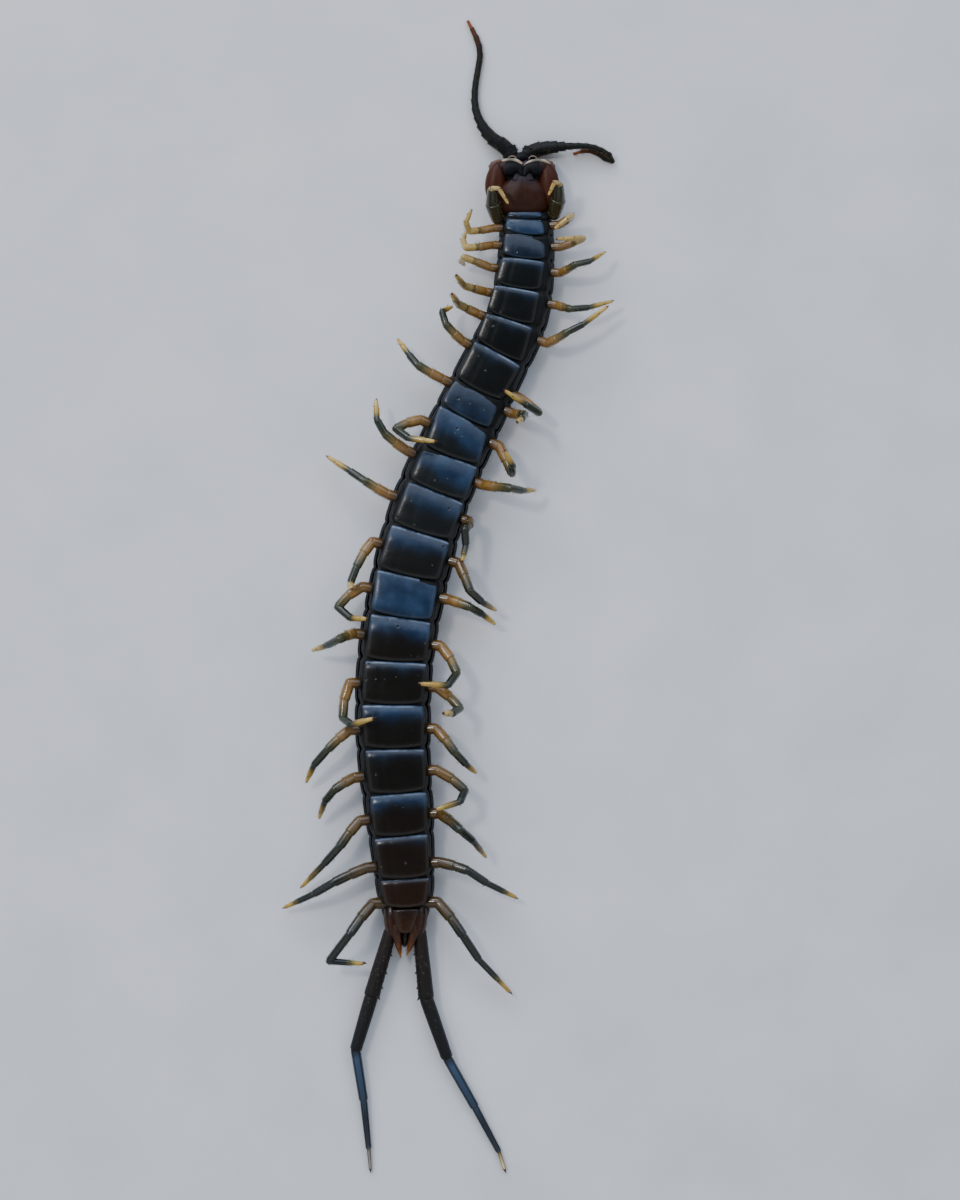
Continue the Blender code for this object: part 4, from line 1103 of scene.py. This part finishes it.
# Venom claws, or forcipules: on each side a swollen thigh article with a blunt tooth, two
# short rings in one and a long fang of black chitin that curves in to the midline.
THIGH_MARKS = {
    "right": [(501, 208, 1.3), (496.5, 199, 1.6), (494.8, 188, 1.75), (496, 177, 1.8),
              (498.6, 169.3, 1.87), (502, 165, 1.95)],
    "left": [(545, 208, 1.3), (548.5, 199, 1.6), (549.6, 188, 1.75), (548.5, 177, 1.8),
             (546, 169.3, 1.87), (543, 165, 1.95)]}
THIGH_RADII = [0.3, 0.6, 0.74, 0.73, 0.58, 0.36]
RING_MARKS = {"right": [(500, 170, 1.95), (503, 167, 2.0), (506.5, 167, 2.05)],
              "left": [(544.5, 170, 1.95), (541.5, 167, 2.0), (538, 167, 2.05)]}
RING_RADII = [0.42, 0.5, 0.5]
FANG_MARKS = {
    "right": [(504, 169.5, 2.05), (509, 169, 2.1), (514.5, 168.6, 2.15), (519.3, 170.5, 2.25),
              (522, 176, 2.45)],
    "left": [(540.5, 169.5, 2.05), (536, 169, 2.1), (530.5, 168.6, 2.15), (526.3, 170.8, 2.25),
             (524, 176.5, 2.5)]}
FANG_RADII = [0.52, 0.6, 0.54, 0.36, 0.06]
# Black lobes in the gap under each fang, in place of the shade there: painted shade.
GAP_SHADE_MARKS = {"right": [(505, 173, 1.5), (510, 176, 1.6), (515, 173, 1.6)],
                "left": [(541, 173, 1.5), (535.5, 176, 1.6), (530, 173, 1.6)]}
GAP_SHADE_RADII = [0.35, 0.5, 0.35]
CLAW_SQUASH = 0.85
THIGH_TOOTH_LENGTH = 0.28
THIGH_TOOTH_RADIUS = 0.12

for side_name in SIDES:
    claw_form = Form()
    add_lobe(claw_form, THIGH_MARKS[side_name], THIGH_RADII, 32, CLAW_SQUASH,
             place=lambda share: 0.3 - 0.12 * np.clip(share - 0.6, 0, 1) + 0.25 * share ** 8)
    add_lobe(claw_form, RING_MARKS[side_name], RING_RADII, 24, CLAW_SQUASH, place=0.5)
    add_lobe(claw_form, FANG_MARKS[side_name], FANG_RADII, 24, CLAW_SQUASH,
             place=lambda share: 0.62 + 0.38 * np.clip(share * 2.5, 0, 1))
    # Black lobe under the fang: painted shade.
    add_lobe(claw_form, GAP_SHADE_MARKS[side_name], GAP_SHADE_RADII, 16, place=0.95)
    inward = -SIDES[side_name]
    inner = plan(*THIGH_MARKS[side_name][3]) + np.array([inward * 0.55, -0.1, 0.1])
    add_spine(claw_form, inner, unit(np.array([inward, 0.5, 0.0])), THIGH_TOOTH_LENGTH,
              THIGH_TOOTH_RADIUS, 10, place=0.9)
    fit(claw_form.make(f"venom_claw_{side_name}", head_chitin), "venom_claw",
        f"forcipule_{side_name}")


# Jaws, or maxillae: a soft floor in front of the tooth plates, painted near-black as the shade
# in the gap behind the fangs, and edged by two pale soft palps that meet in the middle.
JAW_FLOOR_ROWS = [183, 177, 170, 163, 158.5]
JAW_FLOOR_HALF_WIDTHS = [17, 20, 21, 20, 15]
JAW_FLOOR_LEVEL = 1.55
JAW_FLOOR_COLUMNS = 30
JAW_FLOOR_LINES = 24
JAW_FLOOR_THICKNESS = 0.5
PALP_MARKS = {
    "right": [(500.5, 165, 1.9), (503.5, 161.2, 2.2), (510, 160.2, 2.3), (516.5, 161, 2.3),
              (522, 164.3, 2.2)],
    "left": [(524.2, 166.5, 2.2), (529, 162.8, 2.3), (535.5, 160.9, 2.3), (544, 161.2, 2.2),
             (550, 164, 1.9)]}
PALP_RADII = [0.09, 0.12, 0.11, 0.13, 0.08]


def jaw_material():
    """Soft skin of the mouth: painted near-black on the floor as shade, pale cream where the palps stand
    up.
    """
    material, tree, where, place = start_material("soft_jaw_skin", "place")
    tone = add_node(tree, "ShaderNodeValToRGB", {"Fac": place},
                    [(0.0, "#07080b"), (0.3, "#14141a"), (0.6, "#7e776a"), (0.8, "#bdb29c"),
                     (1.0, "#c9a38c")])
    return finish_material(material, Base_Color=tone, Roughness=0.4, IOR=1.45, Subsurface_Weight=0.15,
                           Subsurface_Scale=0.2 * MM, Normal=relief(tree, where, 0.15, 0.5, 0.03, 3.0))


def jaw_floor_surface(u, v):
    stations = (0.5 + 0.5 * v) * (len(JAW_FLOOR_ROWS) - 1)
    row, half = [np.interp(stations, np.arange(len(JAW_FLOOR_ROWS)), sizes)
                 for sizes in (JAW_FLOOR_ROWS, JAW_FLOOR_HALF_WIDTHS)]
    points = plan(SHIELD_MIDDLE + u * half, row + 2.5 * np.exp(-(u / 0.2) ** 2) * (v > 0) * v)
    points[:, 2] = JAW_FLOOR_LEVEL - 0.25 * u ** 2 - 0.15 * v ** 2 + 0.1 * np.cos(5 * u)
    return points


jaw_form = Form()
add_plate(jaw_form, jaw_floor_surface, JAW_FLOOR_COLUMNS, JAW_FLOOR_LINES, JAW_FLOOR_THICKNESS,
          place=lambda u, v: 0.12 + 0.1 * v * (v > 0))
for side_name in SIDES:
    add_lobe(jaw_form, PALP_MARKS[side_name], PALP_RADII, 14,
             place=lambda share: 0.72 + 0.18 * np.sin(9 * share))
fit(jaw_form.make("jaws", jaw_material()), "mouthparts", "maxillae")


# Eyes: four simple eyes at each front corner of the head, hard black domes of clear
# cuticle in a dark rim.
EYE_MIDDLES = {"right": (492.5, 163.5, 0.55), "left": (551.5, 163.5, 0.55)}
EYES_ON_A_SIDE = 4
EYE_SPREAD = 0.17
EYE_RADIUS = 0.15
EYE_DEPTH = 0.26
PATCH_RADIUS = 0.3
PATCH_FOOT = 0.25
PATCH_TOP = 0.14


def eye_material():
    """Clear corneal cuticle over black pigment: very smooth, with a deep wet gloss."""
    material, tree, where = start_material("black_ocellus")
    depth = add_node(tree, "ShaderNodeTexNoise", {"Vector": where, "Scale": 1 / (0.2 * MM)})
    tone = add_node(tree, "ShaderNodeValToRGB", {"Fac": depth}, [(0.35, "#020203"), (0.65, "#0a0b0e")])
    gloss = add_node(tree, "ShaderNodeMapRange", {"Value": depth, "To Min": 0.06, "To Max": 0.14})
    return finish_material(material, Base_Color=tone, Roughness=gloss, IOR=1.52, Coat_Weight=1.0,
                           Coat_Roughness=0.03)


eye_gloss = eye_material()
for side_name in SIDES:
    middle = plan(*EYE_MIDDLES[side_name])
    outward = unit(middle - plan(*HEAD_MIDDLE, middle[2]))
    sideways = np.cross(outward, [0.0, 0.0, 1.0])
    eye_form = Form()
    add_article(eye_form, middle - outward * PATCH_FOOT, middle + outward * PATCH_TOP,
                (PATCH_RADIUS, PATCH_RADIUS), 20, JOINT_SHAPE, 0.0)
    for index in range(EYES_ON_A_SIDE):
        turn = 2 * math.pi * (index + 0.5) / EYES_ON_A_SIDE
        centre = middle + (sideways * math.cos(turn) + np.array([0, 0, math.sin(turn)])) * EYE_SPREAD
        add_article(eye_form, centre, centre + outward * EYE_DEPTH, (EYE_RADIUS, EYE_RADIUS), 16,
                    JOINT_SHAPE, 0.0)
    fit(eye_form.make(f"ocelli_{side_name}", eye_gloss), "eye", f"eyes_{side_name}")


# Feelers, or antennae: 17 short downy articles each, threaded one into the next, thick at
# the root and thin at the tip. The right one is stretched forward, and the left is doubled
# back beside itself.
ANTENNA_MARKS = {
    "right": [(512, 158, 0.55), (510.5, 150.5, 0.6), (503, 143.5, 0.7), (492.5, 136.5, 0.7),
              (484.5, 127, 0.65), (479, 117, 0.55), (475, 103, 0.4), (475, 85, 0.3), (478, 66, 0.27),
              (480, 50, 0.27), (477, 36, 0.27), (468, 18, 0.25)],
    "left": [(526.5, 158, 0.55), (529.5, 150.5, 0.6), (540, 147, 0.7), (556, 145, 0.85),
             (570, 144.5, 0.95), (583, 144.2, 0.95), (593, 145.2, 0.95), (603, 149, 0.9),
             (611, 154, 0.7), (613, 158, 0.45), (608.8, 158.2, 0.3), (603.2, 153.9, 0.35),
             (595, 149.4, 0.4), (586, 148, 0.35), (575, 151, 0.2)]}
ANTENNA_ARTICLES = 17
ANTENNA_RADII_AT = [0.0, 0.1, 0.2, 0.32, 0.5, 0.9, 1.0]
ANTENNA_RADII = {"right": [0.58, 0.54, 0.45, 0.32, 0.25, 0.22, 0.12],
                 "left": [0.56, 0.53, 0.46, 0.26, 0.21, 0.19, 0.12]}
ANTENNA_SIDES = 16
ANTENNA_RINGS = 15
ANTENNA_ARTICLE_SHAPE = [(0.0, 0.1), (0.04, 0.48), (0.1, 0.72), (0.2, 0.88), (0.5, 0.96), (0.72, 1.0),
                         (0.84, 0.94), (0.93, 0.68), (1.0, 0.1)]
END_DOME = 0.7


def antenna_material():
    """Thin chitin of the feelers: green-black and satin, rust-coloured in the last articles."""
    material, tree, where, place = start_material("antenna_chitin", "place")
    tone = add_node(tree, "ShaderNodeValToRGB", {"Fac": place},
                    [(0.0, "#0a0f13"), (0.3, "#0d1311"), (0.55, "#141a12"), (0.8, "#1d1a12"),
                     (0.93, "#4a2a17"), (1.0, "#8a4a28")])
    colour, gloss = weather(tree, where, tone, 0.3, (0.6, 1.5), (0.42, 0.6))
    return finish_material(material, Base_Color=colour, Roughness=gloss, IOR=1.5,
                           Specular_IOR_Level=0.25, Normal=relief(tree, where, 0.05, 0.4, 0.01))


def start_geometry(name, **inputs):
    """New geometry tree with a named input for each size: the tree and its two ends."""
    tree = bpy.data.node_groups.new(name, "GeometryNodeTree")
    tree.interface.new_socket("Geometry", in_out="OUTPUT", socket_type="NodeSocketGeometry")
    tree.interface.new_socket("Geometry", in_out="INPUT", socket_type="NodeSocketGeometry")
    for input_name, value in inputs.items():
        kind = "NodeSocketInt" if isinstance(value, int) else "NodeSocketFloat"
        tree.interface.new_socket(input_name.replace("_", " "), in_out="INPUT", socket_type=kind)
    return tree, add_node(tree, "NodeGroupInput").outputs, add_node(tree, "NodeGroupOutput")


def finish_geometry(tree, grown, way_out, material):
    """Ends a geometry tree: real faces, shaded smooth, in one material."""
    real = add_node(tree, "GeometryNodeRealizeInstances", {"Geometry": grown})
    smooth = add_node(tree, "GeometryNodeSetShadeSmooth", {"Geometry": real})
    done = add_node(tree, "GeometryNodeSetMaterial", {"Geometry": smooth, "Material": material})
    fill(tree, way_out, {"Geometry": done})


def grow(name, ground, tree, **inputs):
    """Plain piece that a geometry tree grows on a mesh."""
    carrier = place_object(f"{name}_ground", ground)
    modifier = carrier.modifiers.new("growth", "NODES")
    modifier.node_group = tree
    for socket in tree.interface.items_tree:
        if socket.name.replace(" ", "_") in inputs:
            modifier[socket.identifier] = inputs[socket.name.replace(" ", "_")]
    bpy.context.view_layer.update()
    evaluated = carrier.evaluated_get(bpy.context.evaluated_depsgraph_get())
    mesh = bpy.data.meshes.new_from_object(evaluated)
    carrier.modifiers.remove(modifier)
    bpy.data.objects.remove(carrier)
    mesh.name = name
    return place_object(name, mesh)


def lathed(tree, rings, sides, shape):
    """Closed turned form one unit long, its radius by a curve of (place, radius)."""
    line = add_node(tree, "GeometryNodeCurvePrimitiveLine", {"End": (0.0, 0.0, 1.0)})
    cut = add_node(tree, "GeometryNodeResampleCurve", {"Curve": line, "Count": rings})
    factor = add_node(tree, "GeometryNodeSplineParameter").outputs["Factor"]
    profile = add_node(tree, "ShaderNodeFloatCurve", {"Value": factor})
    curve = profile.mapping.curves[0]
    for point, (place, radius) in zip(curve.points, (shape[0], shape[-1])):
        point.location = (place, radius)
    for place, radius in shape[1:-1]:
        curve.points.new(place, radius)
    profile.mapping.update()
    sized = add_node(tree, "GeometryNodeSetCurveRadius", {"Curve": cut, "Radius": profile})
    ring = add_node(tree, "GeometryNodeCurvePrimitiveCircle", {"Resolution": sides, "Radius": 1.0})
    return add_node(tree, "GeometryNodeCurveToMesh", {"Curve": sized, "Profile Curve": ring,
                                                      "Fill Caps": True})


antenna_tree, sizes, way_out = start_geometry("antenna_articles", Sides=1, Rings=1)
bead = lathed(antenna_tree, sizes["Rings"], sizes["Sides"], ANTENNA_ARTICLE_SHAPE)
heading, stretch = [add_node(antenna_tree, "GeometryNodeInputNamedAttribute", {"Name": name},
                             data_type="FLOAT_VECTOR") for name in ("heading", "stretch")]
turned_way = add_node(antenna_tree, "FunctionNodeAlignRotationToVector", {"Vector": heading}, axis="Z")
threaded = add_node(antenna_tree, "GeometryNodeInstanceOnPoints",
                    {"Points": sizes["Geometry"], "Instance": bead, "Rotation": turned_way,
                     "Scale": stretch})
finish_geometry(antenna_tree, threaded, way_out, antenna_material())

antenna_pieces = []
for side_name in SIDES:
    route = Line(smooth_route([plan(*mark) for mark in ANTENNA_MARKS[side_name]]))
    places = np.arange(ANTENNA_ARTICLES) / (ANTENNA_ARTICLES - 1)
    starts, headings, stretches = [], [], []
    for article, place in enumerate(places):
        start, end = [route.point(route.length * joint / ANTENNA_ARTICLES)
                      for joint in (article, article + 1)]
        radius = float(np.interp(place, ANTENNA_RADII_AT, ANTENNA_RADII[side_name]))
        dome = unit(end - start) * radius * END_DOME
        starts.append(tuple((start - dome) * MM))
        headings += list(unit(end - start))
        stretches += [radius * MM, radius * MM, float(np.linalg.norm(end - start + 2 * dome)) * MM]
    beads = bpy.data.meshes.new(f"articles_{side_name}")
    beads.from_pydata(starts, [], [])
    for name, kind, field, numbers in (("heading", "FLOAT_VECTOR", "vector", headings),
                                       ("stretch", "FLOAT_VECTOR", "vector", stretches),
                                       ("place", "FLOAT", "value", list(places))):
        beads.attributes.new(name, kind, "POINT").data.foreach_set(field, numbers)
    piece = grow(f"feeler_{side_name}", beads, antenna_tree, Sides=ANTENNA_SIDES, Rings=ANTENNA_RINGS)
    antenna_pieces.append(fit(piece, "antenna", f"antenna_{side_name}"))


# Bristles: fine amber hairs that stand on the feelers and, more thinly, on legs 1 to 20.
# Real ones are near 0.005 mm thick, and these are drawn coarser so that they show.
BRISTLES = [("feeler", 34.0, 0.11, 0.008, 5), ("leg", 5.0, 0.16, 0.01, 8)]
BRISTLE_SIDES = 3
BRISTLE_RINGS = 3
BRISTLE_SHAPE = [(0.0, 1.0), (0.5, 0.7), (1.0, 0.1)]
BRISTLE_LEAN = 0.7
SHORTEST_BRISTLE = 0.6
LONGEST_BRISTLE = 1.2


def bristle_material():
    """Hollow hair of clear cuticle: amber, with a fine sheen along its side."""
    material, tree, where = start_material("bristle_cuticle")
    mottle = add_node(tree, "ShaderNodeTexNoise", {"Vector": where, "Scale": 1 / (0.4 * MM)})
    tone = add_node(tree, "ShaderNodeValToRGB", {"Fac": mottle}, [(0.3, "#3a2c1a"), (0.7, "#8a7448")])
    return finish_material(material, Base_Color=tone, Roughness=0.35, IOR=1.54)


bristle_tree, sizes, way_out = start_geometry("bristle_growth", Density=1.0, Length=1.0,
                                              Thickness=1.0, Seed=1)
spread = add_node(bristle_tree, "GeometryNodeDistributePointsOnFaces",
                  {"Mesh": sizes["Geometry"], "Density": sizes["Density"], "Seed": sizes["Seed"]},
                  distribute_method="RANDOM")
sway = add_node(bristle_tree, "FunctionNodeRandomValue",
                {0: (-BRISTLE_LEAN,) * 3, 1: (BRISTLE_LEAN,) * 3, "Seed": sizes["Seed"]},
                data_type="FLOAT_VECTOR")
leaning = add_node(bristle_tree, "ShaderNodeVectorMath", {0: spread.outputs["Normal"], 1: sway},
                   operation="ADD")
stance = add_node(bristle_tree, "FunctionNodeAlignRotationToVector", {"Vector": leaning}, axis="Z")
bristle_size = add_node(bristle_tree, "ShaderNodeCombineXYZ",
                        {"X": sizes["Thickness"], "Y": sizes["Thickness"], "Z": sizes["Length"]})
variety = add_node(bristle_tree, "FunctionNodeRandomValue",
                   {2: SHORTEST_BRISTLE, 3: LONGEST_BRISTLE, "Seed": sizes["Seed"]}, data_type="FLOAT")
grown_size = add_node(bristle_tree, "ShaderNodeVectorMath", {0: bristle_size, "Scale": variety},
                      operation="SCALE")
hair = lathed(bristle_tree, BRISTLE_RINGS, BRISTLE_SIDES, BRISTLE_SHAPE)
standing = add_node(bristle_tree, "GeometryNodeInstanceOnPoints",
                    {"Points": spread, "Instance": hair, "Rotation": stance, "Scale": grown_size})
finish_geometry(bristle_tree, standing, way_out, bristle_material())

leg_ground = bristle_ground.make("leg_ground", leg_chitin)
grounds = {"leg": [leg_ground], "feeler": antenna_pieces}
for name, density, length, thickness, seed in BRISTLES:
    for index, ground in enumerate(grounds[name]):
        piece = grow(f"{name}_bristles_{index + 1}", ground.data, bristle_tree,
                     Density=density / MM ** 2, Length=length * MM, Thickness=thickness * MM,
                     Seed=seed + index)
        fit(piece, "antenna" if name == "feeler" else "leg")
bpy.data.objects.remove(leg_ground)


# Breathing holes, or spiracles: a small oval opening with a raised dark rim on each flank of
# nine segments, between the root of the leg and the back plate.
SPIRACLE_SEGMENTS = [3, 5, 8, 10, 12, 14, 16, 18, 20]
SPIRACLE_RADIUS = 0.16
SPIRACLE_RIM = 0.05
SPIRACLE_HEIGHT = 0.44
SPIRACLE_FLANK = 0.885
SPIRACLE_STEPS = 21

spiracle_form = Form()
for segment in SPIRACLE_SEGMENTS:
    for side_name, side in SIDES.items():
        place = leg_place(segment, side_name)
        place = place - 0.3 if place > 0.45 else place + 0.33
        distance = segment_front(segment) + place * SEGMENT_LENGTHS[segment - 1]
        width, height = trunk_size(segment, place)
        outward = towards_left(distance) * side
        along = TRUNK.direction(distance)
        centre = TRUNK.point(distance) + outward * SPIRACLE_FLANK * width / 2
        centre[2] = SPIRACLE_HEIGHT * height
        ring_route = [centre + SPIRACLE_RADIUS * (along * 1.5 * math.cos(turn)
                                                  + np.array([0, 0, 0.8]) * math.sin(turn))
                      for turn in np.linspace(0, 2 * math.pi, SPIRACLE_STEPS)]
        add_tube(spiracle_form, ring_route, [SPIRACLE_RIM] * SPIRACLE_STEPS, 8, blue=0.0,
                 body_place=0.9, margin=0.5, front_edge=0.0)
fit(spiracle_form.make("spiracles", chitin), "shell")


# Floor, light and camera: a plain pale floor, a cool sky that is brightest towards the head
# and dark overhead, a large softbox before the head, a small one beside the body for the
# highlights on the legs, and a camera straight above.
FLOOR_HALF_SIZE = 400.0
CAMERA_PIXEL = (480, 600)
CAMERA_HEIGHT = 280.0
VIEW_HEIGHT = 90.0
SENSOR = 36.0
SUBJECT_LEVEL = 2.0
SOFTBOXES = [("head_softbox", (-150, 340, 180), (260, 110), 0.5, "#f4f7ff"),
             ("small_softbox", (-150, 110, 300), (40, 40), 0.22, "#fffaf2")]
SKY_BANDS = [("Y", 0.1, 0.55, 0.96, 2.22), ("Z", 0.8, 0.97, 1.0, 0.16), ("Z", 0.3, 0.6, 0.16, 1.1),
             ("Z", 0.05, 0.2, 0.0, 1.0)]
WALL_BRIGHTNESS = 0.55


def floor_material():
    """Plaster in two close pale greys: matt, so that the floor shows soft shadows only."""
    material, tree, where = start_material("pale_plaster")
    mottle = add_node(tree, "ShaderNodeTexNoise", {"Vector": where, "Scale": 1 / (9.0 * MM),
                                                   "Detail": 6.0})
    tone = add_node(tree, "ShaderNodeValToRGB", {"Fac": mottle}, [(0.35, "#e8eaec"), (0.65, "#f1f2f3")])
    return finish_material(material, Base_Color=tone, Roughness=0.9, IOR=1.45)


floor_mesh = bpy.data.meshes.new("floor")
corners = [(-1, -1), (1, -1), (1, 1), (-1, 1)]
floor_mesh.from_pydata([(x * FLOOR_HALF_SIZE * MM, y * FLOOR_HALF_SIZE * MM, 0.0) for x, y in corners],
                       [], [(0, 1, 2, 3)])
floor = place_object("floor", floor_mesh)
floor_mesh.materials.append(floor_material())

for light_name, place, size, power, tint in SOFTBOXES:
    light = bpy.data.lights.new(light_name, "AREA")
    light.shape = "RECTANGLE"
    light.size, light.size_y = size[0] * MM, size[1] * MM
    light.energy = power
    light.color = paint(tint)[:3]
    lamp = place_object(light_name, light)
    lamp.location = Vector(place) * MM
    lamp.rotation_euler = (-lamp.location).to_track_quat("-Z", "Y").to_euler()

world = bpy.data.worlds.new("studio")
world.use_nodes = True
sky = world.node_tree
facing_point = add_node(sky, "ShaderNodeTexCoord").outputs["Generated"]
facing_parts = add_node(sky, "ShaderNodeSeparateXYZ", {"Vector": facing_point}).outputs
headward = add_node(sky, "ShaderNodeValToRGB", {"Fac": facing_parts["Y"]},
                    [(0.0, "#d0d2d6"), (0.2, "#bccdec"), (0.55, "#c6d5f0"), (0.85, "#f4f7ff")])
beside, overhead, low, wall = [
    add_node(sky, "ShaderNodeMapRange",
             {"Value": facing_parts[axis], "From Min": start, "From Max": end, "To Min": first,
              "To Max": last}, interpolation_type="SMOOTHSTEP")
    for axis, start, end, first, last in SKY_BANDS]
shade = add_node(sky, "ShaderNodeMath", {0: beside, 1: overhead}, operation="MULTIPLY")
brightness = add_node(sky, "ShaderNodeMath", {0: shade, 1: low}, operation="MULTIPLY")
strength = add_node(sky, "ShaderNodeMix", {0: wall, 2: WALL_BRIGHTNESS, 3: brightness},
                    data_type="FLOAT")
tint = add_node(sky, "ShaderNodeMix", {0: wall, 6: paint("#e2e5ea"), 7: headward}, data_type="RGBA")
fill(sky, sky.nodes["Background"], {"Color": tint, "Strength": strength})
bpy.context.scene.world = world

camera_data = bpy.data.cameras.new("camera")
camera_data.sensor_width = SENSOR
camera_data.lens = SENSOR * (CAMERA_HEIGHT - SUBJECT_LEVEL) / VIEW_HEIGHT
camera_data.clip_start = 0.01
camera = place_object("camera", camera_data)
camera.location = Vector(plan(*CAMERA_PIXEL, CAMERA_HEIGHT)) * MM
bpy.context.scene.camera = camera
